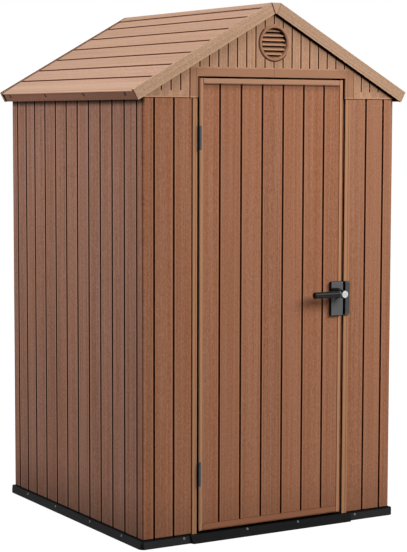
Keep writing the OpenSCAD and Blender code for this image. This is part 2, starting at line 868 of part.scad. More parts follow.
module door_stile(s) {
    y0 = front_y - rail_out;
    back_y = front_y + door_t;
    color(SMOOTH) side_of(s) intersection() {
        translate([0, 0, door_z0]) linear_extrude(door_z1 - door_z0) polygon([
            [panel_half, front_y + plank_recess], [panel_half + plank_recess, front_y],
            [door_half - door_line - line_d, front_y], [door_half - door_line, front_y + line_d],
            [door_half - door_line + line_d, front_y],
            [door_half - door_bevel, front_y], [door_half, front_y + door_bevel],
            [door_half, back_y], [panel_half, back_y]
        ]);
        rotate([90, 0, 90]) linear_extrude(BIG) polygon([
            [y0, door_z0 + end_bevel], [y0 + end_bevel / 2, door_z0], [back_y, door_z0],
            [back_y, door_z1], [y0 + end_bevel / 2, door_z1], [y0, door_z1 - end_bevel]
        ]);
    }
}

module door_stile_left() { door_stile(-1); }
module door_stile_right() { door_stile(1); }

// A rail folded over the panel's lower end, h high, drawn from z = 0 up
module door_rail(h) {
    y0 = front_y - rail_out;
    y1 = front_y + door_t;
    slot_0 = front_y + plank_recess;
    slot_1 = y1 - plank_recess;
    intersection() {
        translate([-panel_half, 0, 0]) rotate([90, 0, 90]) linear_extrude(2 * panel_half)
            polygon([
                [y0 + end_bevel / 2, 0], [y1, 0], [y1, h], [slot_1, h], [slot_1, rail_web],
                [slot_0, rail_web], [slot_0, h], [y0 + rail_out, h], [y0, h - rail_out],
                [y0, end_bevel]
            ]);
        rotate([90, 0, 0]) linear_extrude(2 * BIG, center = true) {
            translate([-panel_half, 0]) square([2 * panel_half, h - rail_corner]);
            translate([rail_corner - panel_half, 0])
                square([2 * (panel_half - rail_corner), h]);
            for (x = [rail_corner - panel_half, panel_half - rail_corner])
                translate([x, h - rail_corner]) circle(rail_corner);
        }
    }
}

module door_top_rail() {
    color(SMOOTH) translate([0, 0, door_z1]) mirror([0, 0, 1]) door_rail(top_rail_h);
}

module door_bottom_rail() {
    color(SMOOTH) translate([0, 0, door_z0]) door_rail(bottom_rail_h);
}

// ---- Lock
plate_r = 4;
plate_bevel = 2;
hub_x = door_half - lever_inset;
hub_z = lock_z + lever_rise;
spindle_r = 8;
spindle_clear = 0.05;
rose_t = 4;
rose_out = 5;                                  // the rose is wider than the hub
hub_gap = 0.5;                                 // between the hub and the rose
spindle_l = lock_t - 3;
plate_y = front_y - lock_t;                    // front face of the plate
hub_y = front_y - hub_out;                     // front face of the hub
lever_y = hub_y + lever_r + 1.5;               // axis of the bar
cylinder_t = 4;
cylinder_clear = 0.1;
collar_l = 4;                                  // the ring where the bar leaves the hub
flute_n = 14;
flute_r = 1.3;
tip_bevel = 2.5;

// A rod about the lever's axis, from y out to the front, from radius r1 to r2
module out_rod(y, h, r1, r2) {
    translate([hub_x, y, hub_z]) rotate([90, 0, 0]) cylinder(h = h, r1 = r1, r2 = r2);
}

// A plate with rounded corners and a bevelled face: x is its left edge
module lock_plate(x, w, back_y) {
    t = back_y - plate_y;
    intersection() {
        translate([x + w / 2, back_y, lock_z + lock_h / 2]) rotate([90, 0, 0])
            linear_extrude(t) round_rect(w, lock_h, plate_r);
        linear_extrude(BIG) translate([x + w / 2, back_y]) bevelled(w, t);
        rotate([90, 0, 90]) linear_extrude(2 * BIG, center = true)
            translate([back_y, lock_z + lock_h / 2]) rotate(-90) bevelled(lock_h, t);
    }
}

// Section w wide and t deep, its back on the X axis and its face at -Y
module bevelled(w, t) {
    polygon([
        [-w / 2, 0], [w / 2, 0], [w / 2, plate_bevel - t], [w / 2 - plate_bevel, -t],
        [plate_bevel - w / 2, -t], [-w / 2, plate_bevel - t]
    ]);
}

module lock_body() {
    hole_r = spindle_r + spindle_clear;
    color(BLACK) difference() {
        union() {
            lock_plate(door_half - lock_w, lock_w, front_y);
            out_rod(plate_y, rose_t, hub_r + rose_out, hub_r);
        }
        out_rod(plate_y + spindle_l + 1, spindle_l + rose_t + 2, hole_r, hole_r);
    }
}

module lock_keeper() {
    color(BLACK) lock_plate(doorway_half, jamb_w, front_y - jamb_out);
}

// The lever's grip in section: a round bar with flutes along it
module grip_section() {
    difference() {
        circle(lever_r);
        for (i = [0:flute_n - 1]) rotate(i * 360 / flute_n)
            translate([lever_r + flute_r / 2, 0]) circle(flute_r);
    }
}

module lever_handle() {
    back_y = plate_y - rose_t - hub_gap;       // back face of the hub
    root = plate_y + spindle_l;                // inner end of the spindle
    grip_0 = hub_r + collar_l;                 // where the grip begins
    color(BLACK) difference() {
        union() {
            out_rod(back_y, back_y - hub_y - tip_bevel, hub_r, hub_r);
            out_rod(hub_y + tip_bevel, tip_bevel, hub_r, hub_r - tip_bevel / 2);
            out_rod(root, root - back_y + 1, spindle_r, spindle_r);
            translate([hub_x, lever_y, hub_z]) rotate([0, -90, 0]) {
                cylinder(h = grip_0, r = lever_r + 1);
                translate([0, 0, grip_0 - 1])
                    linear_extrude(lever_l - tip_bevel - grip_0 + 1) grip_section();
                translate([0, 0, lever_l - tip_bevel])
                    cylinder(h = tip_bevel, r1 = lever_r, r2 = lever_r - tip_bevel);
            }
        }
        out_rod(hub_y + cylinder_t, 2 * cylinder_t, cylinder_r, cylinder_r);
    }
}

// The cylinder's face, with a ring round the keyway
key_ring_r = 8;
key_line = 1;
key_w = 1.8;
key_h = 8;
module lock_cylinder() {
    r = cylinder_r - cylinder_clear;
    color("silver") difference() {
        out_rod(hub_y + cylinder_t, cylinder_t, r, r);
        difference() {
            out_rod(hub_y + key_line, 2 * key_line, key_ring_r, key_ring_r);
            out_rod(hub_y + 2 * key_line, 4 * key_line, key_ring_r - key_line, key_ring_r - key_line);
        }
        translate([hub_x - key_w / 2, hub_y - 1, hub_z - key_h / 2])
            cube([key_w, 1 + cylinder_t / 2, key_h]);
    }
}

// ---- Every node once
floor_left();
floor_right();
threshold_sill();
corner_front_left();
corner_front_right();
corner_back_left();
corner_back_right();
wall_left();
wall_right();
wall_back();
door_jamb_left();
door_jamb_right();
header_rail();
gable_front_left();
gable_front_right();
gable_back_left();
gable_back_right();
vent_front();
vent_back();
roof_left();
roof_right();
ridge_cap();
ridge_end_front();
ridge_end_back();
barge_front_left();
barge_front_right();
barge_back_left();
barge_back_right();
eave_left();
eave_right();
ridge_beam();
hinge_top_frame();
hinge_bottom_frame();
lock_keeper();
door_panel();
door_stile_left();
door_stile_right();
door_top_rail();
door_bottom_rail();
hinge_top_door();
hinge_bottom_door();
lock_body();
lever_handle();
lock_cylinder();
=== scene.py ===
# %% [markdown]
# # A plank-moulded tool shed
# The object is a walk-in shed of moulded resin.  Its walls, roof and door are
# panels pressed to look like boards, and they stand in a black floor tray.
# The imported model gives every solid piece, so this lesson is mostly about
# finishes: boards with grain, smooth trim, black resin and a little steel.
# The first cell loads the model.  Nothing that is added later may grow past
# it.

# %% Load the imported model
import math
import bpy
import numpy as np
from mathutils import Matrix, Vector


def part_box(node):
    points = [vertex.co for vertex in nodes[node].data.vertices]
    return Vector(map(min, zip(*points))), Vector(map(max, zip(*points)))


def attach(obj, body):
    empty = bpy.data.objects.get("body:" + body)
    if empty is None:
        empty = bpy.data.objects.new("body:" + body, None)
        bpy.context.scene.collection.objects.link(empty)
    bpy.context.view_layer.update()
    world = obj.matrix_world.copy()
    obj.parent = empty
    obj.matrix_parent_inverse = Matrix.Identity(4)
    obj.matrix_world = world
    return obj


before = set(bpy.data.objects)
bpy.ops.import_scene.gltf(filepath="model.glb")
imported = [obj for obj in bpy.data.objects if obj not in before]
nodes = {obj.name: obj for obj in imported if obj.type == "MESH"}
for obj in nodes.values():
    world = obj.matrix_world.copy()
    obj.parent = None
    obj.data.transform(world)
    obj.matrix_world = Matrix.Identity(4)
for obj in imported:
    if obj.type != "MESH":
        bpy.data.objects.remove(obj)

scene = bpy.context.scene
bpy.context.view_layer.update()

# %% [markdown]
# ## The camera
# A long lens keeps the upright edges nearly parallel, as in a product
# picture.  The camera stands in front and to the left, a little below the
# eaves, and looks slightly down.  Yaw turns it about the upright axis, pitch
# tips it down, and roll turns it about its own view line.  The three axes of
# the camera are worked out from these angles and make up its matrix.

# %% Camera
EYE = (-3.607, -6.1055, 1.611)
FOCAL_LENGTH, SENSOR_WIDTH = 111.7, 36  # millimetres
yaw, pitch, roll = (math.radians(angle) for angle in (30.796, 5.256, 0.136))
ahead = Vector((math.sin(yaw) * math.cos(pitch), math.cos(yaw) * math.cos(pitch),
                -math.sin(pitch)))
side = Vector((math.cos(yaw), -math.sin(yaw), 0))
over = side.cross(ahead)
camera = bpy.data.objects.new("camera", bpy.data.cameras.new("camera"))
scene.collection.objects.link(camera)
camera.matrix_world = Matrix((
    math.cos(roll) * side + math.sin(roll) * over,
    math.cos(roll) * over - math.sin(roll) * side,
    -ahead,
)).transposed().to_4x4()
camera.location = EYE
camera.data.lens, camera.data.sensor_width = FOCAL_LENGTH, SENSOR_WIDTH
scene.camera = camera
print("camera at", [round(v, 3) for v in camera.location], "lens", camera.data.lens)

# %% [markdown]
# ## Building node trees
# Every finish here is a tree of shader nodes.  A few short helpers keep the
# later cells readable: one adds a node and fills its inputs, one does a
# calculation, a few make noise, chance and colours, and three start a node
# group, link its results and place it.  An input is given either a plain
# value or the output of another node.

# %% Node helpers
def fill(tree, made, inputs):
    """Sets each named input of a node, or links it when the value is a socket."""
    for name, value in inputs.items():
        if isinstance(value, bpy.types.NodeSocket):
            tree.links.new(value, made.inputs[name])
        else:
            made.inputs[name].default_value = value
    return made


def add(tree, kind, inputs={}, **settings):
    """Adds a shader node, makes its settings, then fills its inputs."""
    made = tree.nodes.new("ShaderNode" + kind)
    for name, value in settings.items():
        setattr(made, name, value)
    return fill(tree, made, inputs)


def calc(tree, operation, a, b=0.0, c=0.0, clamp=False):
    """One Math node; a, b and c are numbers or sockets."""
    return add(tree, "Math", {0: a, 1: b, 2: c}, operation=operation,
               use_clamp=clamp).outputs[0]


def minus(tree, a, b):
    """The difference a - b."""
    return calc(tree, "SUBTRACT", a, b)


def times(tree, a, b):
    """The product a * b."""
    return calc(tree, "MULTIPLY", a, b)


def ramp(tree, value, low, high, out_low=0.0, out_high=1.0):
    """A smooth step, from out_low at low to out_high at high."""
    return add(tree, "MapRange", {"Value": value, "From Min": low, "From Max": high,
                                  "To Min": out_low, "To Max": out_high},
               interpolation_type="SMOOTHSTEP").outputs["Result"]


def centred(tree, value):
    """A value that runs from 0 to 1, moved to run from -0.5 to 0.5."""
    return minus(tree, value, 0.5)


def length(tree, a, b):
    """The distance sqrt(a * a + b * b)."""
    return calc(tree, "SQRT", calc(tree, "MULTIPLY_ADD", a, a, times(tree, b, b)))


def noise(tree, x, y, z, detail=2.0, rough=0.5):
    """Noise at the point (x, y, z), from 0 to 1, on average 0.5."""
    point = add(tree, "CombineXYZ", {0: x, 1: y, 2: z}).outputs[0]
    return add(tree, "TexNoise", {"Vector": point, "Scale": 1.0, "Detail": detail,
                                  "Roughness": rough}).outputs["Fac"]


def chance(tree, x, seed):
    """One random number from 0 to 1 for each whole number x."""
    point = add(tree, "CombineXYZ", {0: x, 1: seed}).outputs[0]
    return add(tree, "TexWhiteNoise", {"Vector": point}).outputs["Value"]


def mix(tree, factor, a, b, how="MIX"):
    """One colour Mix node, from a at 0 to b at 1."""
    return add(tree, "Mix", {0: factor, 6: a, 7: b}, data_type="RGBA",
               blend_type=how).outputs[2]


def grey(tree, level):
    """The grey of a level."""
    return add(tree, "CombineColor", {0: level, 1: level, 2: level}).outputs[0]


def tint(colour):
    """A colour's screen values from 0 to 255, as linear values for a socket."""
    c = np.array(colour) / 255
    return (*np.where(c < 0.04045, c / 12.92, ((c + 0.055) / 1.055) ** 2.4), 1)


def new_group(name, inputs, outputs):
    """An empty group.  Inputs are {name: value}; outputs are {name: kind}."""
    tree = bpy.data.node_groups.new(name, "ShaderNodeTree")
    for label, value in inputs.items():
        kind = "Float" if isinstance(value, (int, float)) else "Color"
        tree.interface.new_socket(label, in_out="INPUT", socket_type="NodeSocket" + kind
                                  ).default_value = value
    for label, kind in outputs.items():
        tree.interface.new_socket(label, in_out="OUTPUT", socket_type="NodeSocket" + kind)
    print("group:", name, "| in:", ", ".join(inputs), "| out:", ", ".join(outputs))
    return (tree, tree.nodes.new("NodeGroupInput").outputs,
            tree.nodes.new("NodeGroupOutput").inputs)


def give(tree, wanted, results):
    """Links a group's results to its outputs."""
    for name, value in results.items():
        tree.links.new(value, wanted[name])


def place(tree, group, inputs):
    """Places a group in a tree, fills its inputs and returns its outputs."""
    return fill(tree, add(tree, "Group", node_tree=group), inputs).outputs

print("helpers ready")

# %% [markdown]
# ## Where a board begins and ends
# The panels are one moulding each, so a board is only a place between two
# grooves.  This group turns a distance across the panel into three things:
# the number of the board, the place within it from -0.5 to 0.5, and the
# distance in metres to the nearest groove's middle.  Fraction and floor do
# this for every board at once, so no board needs an object of its own.

# %% Group: board layout
layout, given, wanted = new_group(
    "board layout", {"Across": 0.0, "First groove": 0.0, "Board width": 0.1},
    {"Number": "Float", "Local": "Float", "Edge": "Float"})
count = calc(layout, "DIVIDE", minus(layout, given["Across"], given["First groove"]),
             given["Board width"])
number = calc(layout, "FLOOR", count)
local = centred(layout, minus(layout, count, number))
edge = times(layout, given["Board width"], minus(layout, 0.5, calc(layout, "ABSOLUTE", local)))
give(layout, wanted, {"Number": number, "Local": local, "Edge": edge})

# %% [markdown]
# ## Wood grain that a mould leaves
# A sawn board shows the growth rings of its log.  Take the log's heart as a
# line nearly parallel to the board: a point of the board that lies x to the
# side of the heart and d in front of it sits on the ring of radius
# sqrt(x * x + d * d).  Where x is small the rings meet the board as tall
# arches, and where x is large they are nearly straight lines.  So one formula
# gives both kinds of board, and each board picks its own x and d by chance.
# Streaks along the board and short light flecks are stretched noise, and a
# slower noise says where the board turns greyer.

# %% Group: moulded grain
KIND_SEED, HEART_SEED, LEAN_SEED, SHADE_SEED = 3.0, 5.0, 8.0, 11.0
grain, given, wanted = new_group(
    "moulded grain",
    {"Across": 0.0, "Along": 0.0, "Number": 0.0, "Local": 0.0, "Board width": 0.1,
     "Ring spacing": 0.007, "Arched share": 0.35},
    {"Tone": "Float", "Rings": "Float", "Flecks": "Float", "Greyed": "Float",
     "Height": "Float"})
across, along, number = given["Across"], given["Along"], given["Number"]
lot = times(grain, number, 7.31)  # gives each board noise of its own


def stretched(fine, coarse, **more):
    """Noise with many waves per metre across the boards and few along them."""
    return noise(grain, times(grain, across, fine), times(grain, along, coarse), lot, **more)


# The heart's place to the side: 0.16 to 0.41 m away, or behind an arched board itself.
arched = calc(grain, "LESS_THAN", chance(grain, number, KIND_SEED), given["Arched share"])
aside = centred(grain, chance(grain, number, HEART_SEED))
far = calc(grain, "MULTIPLY_ADD", aside, 0.25, 0.28)
near = times(grain, aside, times(grain, given["Board width"], 0.6))
heart = calc(grain, "MULTIPLY_ADD", arched, minus(grain, near, far), far)
x = calc(grain, "MULTIPLY_ADD", given["Local"], given["Board width"], heart)

# Its depth: 15 mm at the middle, swaying by up to 50 mm and leaning along the board.
sway = centred(grain, noise(grain, lot, times(grain, along, 1.4), 0.0))
lean = calc(grain, "MULTIPLY_ADD", chance(grain, number, LEAN_SEED), 0.12, -0.06)
d = calc(grain, "ADD", times(grain, along, lean), calc(grain, "MULTIPLY_ADD", sway, 0.1, 0.015))

# Each ring darkens slowly and ends at once; noise of 12 mm makes its line wavy.
wave = stretched(45.0, 7.0, detail=3.0)
radius = calc(grain, "MULTIPLY_ADD", wave, 0.012, length(grain, x, d))
ring = calc(grain, "FRACT", calc(grain, "DIVIDE", radius, given["Ring spacing"]))
late = times(grain, ramp(grain, ring, 0.25, 0.85), ramp(grain, ring, 1.0, 0.9))

# The noises beside the rings, from the finest to the slowest.
fibre = stretched(480.0, 22.0)
light = ramp(grain, stretched(330.0, 120.0, detail=1.0), 0.55, 0.72)
fleck = stretched(210.0, 105.0, rough=0.6)
streak = stretched(115.0, 0.9, detail=3.0, rough=0.6)
drift = stretched(70.0, 2.0, detail=3.0, rough=0.6)

# Arched boards show their rings more, and paler flecks break the rings up.
rings = times(grain, late, calc(grain, "MULTIPLY_ADD", arched, 0.45, 0.35))
rings = times(grain, rings, ramp(grain, fleck, 0.6, 0.42, 0.5, 1.2))
tone = calc(grain, "MULTIPLY_ADD", centred(grain, fibre), 0.8, 0.5)
tone = calc(grain, "MULTIPLY_ADD", centred(grain, streak), 2.8, tone)
tone = calc(grain, "MULTIPLY_ADD", centred(grain, fleck), 2.6, tone)
height = calc(grain, "MULTIPLY_ADD", light, 0.4, calc(grain, "MULTIPLY_ADD", rings, -0.5, tone))
give(grain, wanted, {"Tone": tone, "Rings": rings, "Flecks": light,
                     "Greyed": ramp(grain, drift, 0.38, 0.66), "Height": height})

# %% [markdown]
# ## Fine noise of a moulding
# No moulded face is quite even: cooling leaves soft clouds in the gloss, and
# the tool's texture leaves a fine roughness.  Every plain finish uses this
# group, with its own amounts.

# %% Group: moulded face
face, given, wanted = new_group(
    "moulded face", {"Colour": (0.5, 0.5, 0.5, 1), "Cloud": 0.06, "Grit size": 0.0008},
    {"Colour": "Color", "Roughness shift": "Float", "Height": "Float"})
spot = add(face, "TexCoord").outputs["Object"]
cloud = add(face, "TexNoise", {"Vector": spot, "Scale": 7.0, "Detail": 3.0}).outputs["Fac"]
grit = add(face, "TexNoise", {"Vector": spot, "Detail": 2.0,
                              "Scale": calc(face, "DIVIDE", 1.0, given["Grit size"])}
           ).outputs["Fac"]
level = calc(face, "MULTIPLY_ADD", centred(face, cloud), times(face, given["Cloud"], 2.0), 1.0)
give(face, wanted, {"Colour": mix(face, 1.0, given["Colour"], grey(face, level), "MULTIPLY"),
                    "Roughness shift": calc(face, "MULTIPLY_ADD", cloud, 0.16, -0.08),
                    "Height": grit})

# %% [markdown]
# ## The places that finishes name
# A shade line or a paler lip lies so many millimetres from some edge of the
# shed.  So the edges get names first.  Most are read from the model's boxes;
# the few that no box gives are its own sizes, written out.

# %% Named places
def ends(name, axis):
    """Where a piece begins and ends along an axis, to 0.1 mm."""
    return [round(corner["xyz".index(axis)], 4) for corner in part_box(name)]


HALF_W = ends("wall_right", "x")[1]  # the walls' outer faces
HALF_D = ends("wall_back", "y")[1]
FRONT = -HALF_D
GABLE_FACE = ends("gable_back_right", "y")[1]  # the gables stand proud of the walls
GABLE_FOOT = ends("gable_front_right", "z")[0]
TRAY_TOP = ends("floor_right", "z")[1]
SILL_HALF = ends("threshold_sill", "x")[1]
JAMB_IN, JAMB_OUT = ends("door_jamb_right", "x")  # the door's frame
JAMB_TOP = ends("door_jamb_right", "z")[1]
JAMB_FACE = ends("door_jamb_right", "y")[0]
DOORWAY_HALF = ends("lock_keeper", "x")[0]  # the opening between the jambs
STILE_IN, DOOR_HALF = ends("door_stile_right", "x")
TOP_RAIL, DOOR_TOP = ends("door_top_rail", "z")
LOW_RAIL_FOOT, LOW_RAIL_TOP = ends("door_bottom_rail", "z")
LOCK_LEFT = ends("lock_body", "x")[0]  # the lock, its lever and the hinges
LOCK_LOW, LOCK_HIGH = ends("lock_body", "z")
KEEPER_FACE = ends("lock_keeper", "y")[0]
LOCK_SPLIT = 0.3285  # the middle of the gap between its parts
LEVER_X, LEVER_Z, LEVER_NECK = 0.299, 0.924, -0.605
LEVER_END = ends("lever_handle", "x")[0]
HINGE_FACE = ends("hinge_top_frame", "y")[0]
BAND_HALF, BAND_TOP = 0.371, 1.799  # the smooth band over the door
VENT_Z, VENT_R, VENT_HOLE = 1.898, 0.068, 0.0565
CAP_HALF = ends("ridge_cap", "x")[1]  # the roof's edges and its slope
CAP_DOWN = 0.07  # the cap's edge, down the slope
WEDGE_FOOT, WEDGE_LEAN = ends("ridge_end_front", "z")[0], 0.4156
BARGE_IN, EAVE_X = ends("barge_front_right", "x")
BARGE_DROP = 0.045  # where a barge board ends, under the slope
EAVE_Z = 1.7166  # the slope's height at EAVE_X
EAVE_BACK = ends("eave_right", "y")[1]
SLOPE = math.radians(29.1)
down_x, down_z = math.cos(SLOPE), -math.sin(SLOPE)
apex_z = EAVE_Z + EAVE_X * math.tan(SLOPE)
TIP = EAVE_X / down_x  # the eave's edge, down the slope
DOWN = ((down_x, 0, down_z), -apex_z * down_z)  # distance down the slope
LIFT = ((-down_z, 0, down_x), -apex_z * down_x)  # height above the slope
print("half width", HALF_W, "half depth", HALF_D, "eave", round(TIP, 3), "m down the slope")

# %% [markdown]
# ## Measuring a piece from its own coordinates
# Every finish reads the object's own coordinates, so the pattern stays on the
# piece when the door swings.  A distance is a dot product: the point times an
# axis, plus a start.  Left and right pieces mirror each other, so X is made
# positive first.  From such distances a finish knows how deep a point lies
# below the panel's face, which is how it finds grooves, bevels and the inside
# of a gap.  A mask is a value from 0 to 1 made of smooth steps, and a product
# of masks is 1 only where each of them is.

# %% Distances and masks
MM = 0.001


class Spot:
    """The place being shaded, in the object's own coordinates with X made positive.
    sign is 1 on the right and -1 on the left, left and right are masks of the two
    halves, and below is the depth under the face."""

    def __init__(self, tree, depth=None):
        own = add(tree, "SeparateXYZ", {0: add(tree, "TexCoord").outputs["Object"]}).outputs
        self.sign = calc(tree, "SIGN", own["X"])
        self.left = ramp(tree, self.sign, 0.5, -0.5)
        self.right = ramp(tree, self.sign, -0.5, 0.5)
        self.x, self.y, self.z = calc(tree, "ABSOLUTE", own["X"]), own["Y"], own["Z"]
        self.point = add(tree, "CombineXYZ", {0: self.x, 1: self.y, 2: self.z}).outputs[0]
        self.below = depth(tree, self) if depth else None


def distance_along(tree, at, axis, start=0.0):
    """How far a place lies along an axis: the dot product of both, plus start."""
    dot = add(tree, "VectorMath", {0: at.point, 1: axis}, operation="DOT_PRODUCT")
    return calc(tree, "ADD", dot.outputs["Value"], start)


def between(tree, value, low, high, soft=0.0004):
    """1 where value lies from low to high, fading to 0 over a soft edge."""
    return times(tree, ramp(tree, value, low - soft, low + soft),
                 ramp(tree, value, high + soft, high - soft))


def step(tree, value, edge, low, high):
    """A smooth step from edge + low to edge + high, both given in millimetres."""
    return ramp(tree, value, edge + low * MM, edge + high * MM)


def within(tree, value, edge, low, high):
    """1 where value lies from edge + low to edge + high, both in millimetres."""
    return between(tree, value, edge + low * MM, edge + high * MM)


def all_of(tree, first, *others):
    """The product of masks, and of a share where one is given."""
    for other in others:
        first = times(tree, first, other)
    return first


def flip(tree, mask):
    """1 where a mask is 0."""
    return minus(tree, 1.0, mask)


def on_front(tree, at):
    """1 on the front of a wall, from 2 mm under its face outwards."""
    return step(tree, at.y, FRONT, 4, 2)


def on_face(tree, at):
    """1 on the panel's face itself, and 0 from 1 mm below it."""
    return step(tree, at.below, 0, 1, 0.2)


def near_face(tree, at):
    """1 down to 7 mm below the face, which takes in the grooves but not the cut ends."""
    return step(tree, at.below, 0, 8, 7)


def dim_low(tree, at, share):
    """Up to the given share of painted shade near the ground, fading out 0.24 m above it."""
    return all_of(tree, ramp(tree, at.z, 0.24, -0.02), share)


def wall_depth(tree, at):
    """Depth below the nearest outer face of the walls."""
    return calc(tree, "MINIMUM", minus(tree, HALF_W, at.x),
                minus(tree, HALF_D, calc(tree, "ABSOLUTE", at.y)))


def gable_depth(tree, at):
    """Depth below a gable's face."""
    return minus(tree, GABLE_FACE, calc(tree, "ABSOLUTE", at.y))


def door_depth(tree, at):
    """Depth below the face of the door's boards, 2 mm behind the wall's face."""
    return minus(tree, at.y, FRONT + 0.002)


def roof_depth(tree, at):
    """Depth below the roof panels' face, 2 mm under the slope and square to it."""
    return calc(tree, "MULTIPLY_ADD", distance_along(tree, at, *LIFT), -1.0, -0.002)


def barge_depth(tree, at):
    """Depth below the slope, which a barge board's top edge follows."""
    return times(tree, distance_along(tree, at, *LIFT), -1.0)


def vent_distance(tree, at):
    """(height above the vent's middle, distance from its axis)."""
    rise = minus(tree, at.z, VENT_Z)
    return rise, length(tree, at.x, rise)


def under_header(tree, at):
    """1 below the lower edge of the header over the doorway."""
    return step(tree, at.z, JAMB_TOP, 0.6, -0.4)


def doorway_gap_shade(tree, at):
    """1 where painted shade, black, fills the gap round the door."""
    sides = all_of(tree, within(tree, at.y, FRONT, -0.8, 8.2),
                   between(tree, at.x, JAMB_IN - 0.8 * MM, DOORWAY_HALF + 0.6 * MM),
                   under_header(tree, at))
    top = all_of(tree, within(tree, at.y, FRONT, 5, 43),
                 between(tree, at.z, DOOR_TOP - MM, JAMB_TOP + 0.6 * MM),
                 step(tree, at.x, DOORWAY_HALF, 0.6, -0.4))
    return calc(tree, "MAXIMUM", sides, top)


def lock_gap(tree, at):
    """1 where painted shade, black, fills the gap between the lock's two parts."""
    across = between(tree, at.x, DOOR_HALF - 2 * MM, DOORWAY_HALF + 1.5 * MM)
    return all_of(tree, across, between(tree, at.z, LOCK_LOW + MM, LOCK_HIGH - MM), at.right)

print("masks ready")

# %% [markdown]
# ## Board finishes
# One function makes the finish of every panel with boards.  The grain comes
# from the group above.  Beside each groove the moulding has a smooth, paler
# lip, and the groove itself lies in deep shade, which is painted: its walls and
# floor get a dark colour as painted shade.  A panel's own extra marks come last,
# as a list of (mask, colour) pairs that are laid over the boards; many of them
# are painted light and shade.

# %% Board finish
finishes = {}


def new_material(name, roughness, specular=0.16, metallic=0.0):
    """A Principled material, kept in finishes; returns its tree and its shader."""
    material = bpy.data.materials.new(name)
    material.use_nodes = True
    shader = material.node_tree.nodes["Principled BSDF"]
    finishes[name] = material
    print("finish:", name)
    return material.node_tree, fill(material.node_tree, shader, {
        "Roughness": roughness, "Specular IOR Level": specular, "Metallic": metallic})


def bump(tree, shader, height, distance):
    """Raises the surface by height times distance, in metres."""
    fill(tree, shader, {"Normal": add(tree, "Bump", {"Height": height, "Distance": distance,
                                                     "Strength": 1.0}).outputs[0]})


def board_material(name, colours, depth, across, along, first, width, seed, half=0.0043,
                   deep=-0.001, lip=0.0085, arched=0.35, rings=0.0065, contrast=1.0,
                   marks=None, grooves=True, specular=0.05):
    """The finish of a panel with boards.  colours are (body, greyed, lip, groove
    shade), the last a dark colour painted as the grooves' shade; depth(tree, at) is the
    depth below the face; across and along are (axis, start), or across(tree, at) itself;
    first is where a groove lies, half is half its width and deep is where its painted
    shade begins; marks(tree, at) gives (mask, colour) pairs."""
    body, greyed, pale, dark = (tint(colour) for colour in colours)
    tree, shader = new_material(name, 0.52, specular)
    at = Spot(tree, depth)
    u = across(tree, at) if callable(across) else distance_along(tree, at, *across)
    v = distance_along(tree, at, *along)
    board = place(tree, layout, {"Across": u, "First groove": first, "Board width": width})
    which = calc(tree, "MULTIPLY_ADD", at.sign, 20.0, calc(tree, "ADD", board["Number"], seed))
    wood = place(tree, grain, {"Across": u, "Along": v, "Number": which,
                               "Local": board["Local"], "Board width": width,
                               "Ring spacing": rings, "Arched share": arched})
    lean = calc(tree, "MULTIPLY_ADD", wood["Tone"], 0.9,
                calc(tree, "MULTIPLY_ADD", wood["Greyed"], 0.35, -0.12), clamp=True)
    hue = mix(tree, calc(tree, "MAXIMUM", lean, wood["Flecks"]), body, greyed)
    level = calc(tree, "MULTIPLY_ADD", chance(tree, which, SHADE_SEED), 0.08, 0.95)
    level = calc(tree, "MULTIPLY_ADD", centred(tree, wood["Tone"]), 0.24 * contrast, level)
    level = calc(tree, "MULTIPLY_ADD", wood["Rings"], -0.14 * contrast, level)
    level = calc(tree, "MULTIPLY_ADD", wood["Flecks"], 0.2 * contrast, level)
    shown = mix(tree, 1.0, hue, grey(tree, level), "MULTIPLY")
    grained = 1.0
    if grooves:
        in_lip = step(tree, board["Edge"], lip, 1, -1)
        grained = flip(tree, in_lip)
        shown = mix(tree, in_lip, shown, pale)
        # painted shade: a groove's walls and floor take the dark colour
        in_groove = all_of(tree, step(tree, at.below, deep, 0, 0.6), near_face(tree, at),
                           step(tree, board["Edge"], half, 0.4, -0.2))
        shown = mix(tree, in_groove, shown, dark)
    for mask, colour in (marks(tree, at) if marks else ()):
        shown = mix(tree, mask, shown, tint(colour))
        grained = all_of(tree, grained, flip(tree, mask))
    fill(tree, shader, {"Base Color": shown,
                        "Roughness": calc(tree, "MULTIPLY_ADD", grained, 0.1, 0.46)})
    bump(tree, shader, all_of(tree, wood["Height"], grained), 0.0005)

# %% [markdown]
# ## Finishes of the panels
# Each panel names its first groove and the width of its boards, which are the
# shed's own sizes.  A corner panel turns a corner, so its axis across adds X
# and Y and so runs round the corner without a break.  Colours are screen
# values of red, green and blue, and the offsets of a mask are millimetres.

# %% Panels
# The last colour of each set is painted shade for the grooves.  SIDES is the same resin as WOOD,
# painted paler and greyer for the side walls as a painted sheen, with darker painted shade in its
# grooves.
WOOD = ((174, 111, 76), (164, 116, 91), (184, 129, 97), (64, 24, 12))
SIDES = ((176, 114, 80), (167, 121, 97), (187, 133, 102), (46, 18, 10))
GABLE = ((191, 145, 112), (188, 147, 121), (200, 155, 124), (92, 44, 26))
ROOF = ((196, 151, 121), (195, 155, 128), (206, 164, 134), (112, 66, 42))
BARGE = ((192, 154, 125), (191, 155, 128), (200, 164, 134), (70, 42, 30))
FASCIA = ((174, 118, 86), (166, 116, 90), (182, 132, 100), (60, 32, 20))
TRIM = (183, 133, 98)
BAND = (175, 128, 99)
BLACK = (12, 8, 6)
UP = ((0, 0, 1), 0.0)
SIDEWAYS = ((1, 0, 0), 0.0)
BACKWARDS = ((0, 1, 0), 0.0)
WALL_BOARD, SIDE_BOARD, BACK_BOARD = 0.084, 0.88 / 9, 0.096
DOOR_BOARD, ROOF_BOARD, GABLE_BOARD = 0.095, 0.0944, 0.0412
FRONT_CORNER_BOARD, BACK_CORNER_BOARD = 0.049, 0.054  # the boards next to a corner
TURN = 0.008  # how far inside the faces an axis turns the corner
FRONT_RATE, BACK_RATE = 1.194, 1.056  # how much faster it runs after the turn


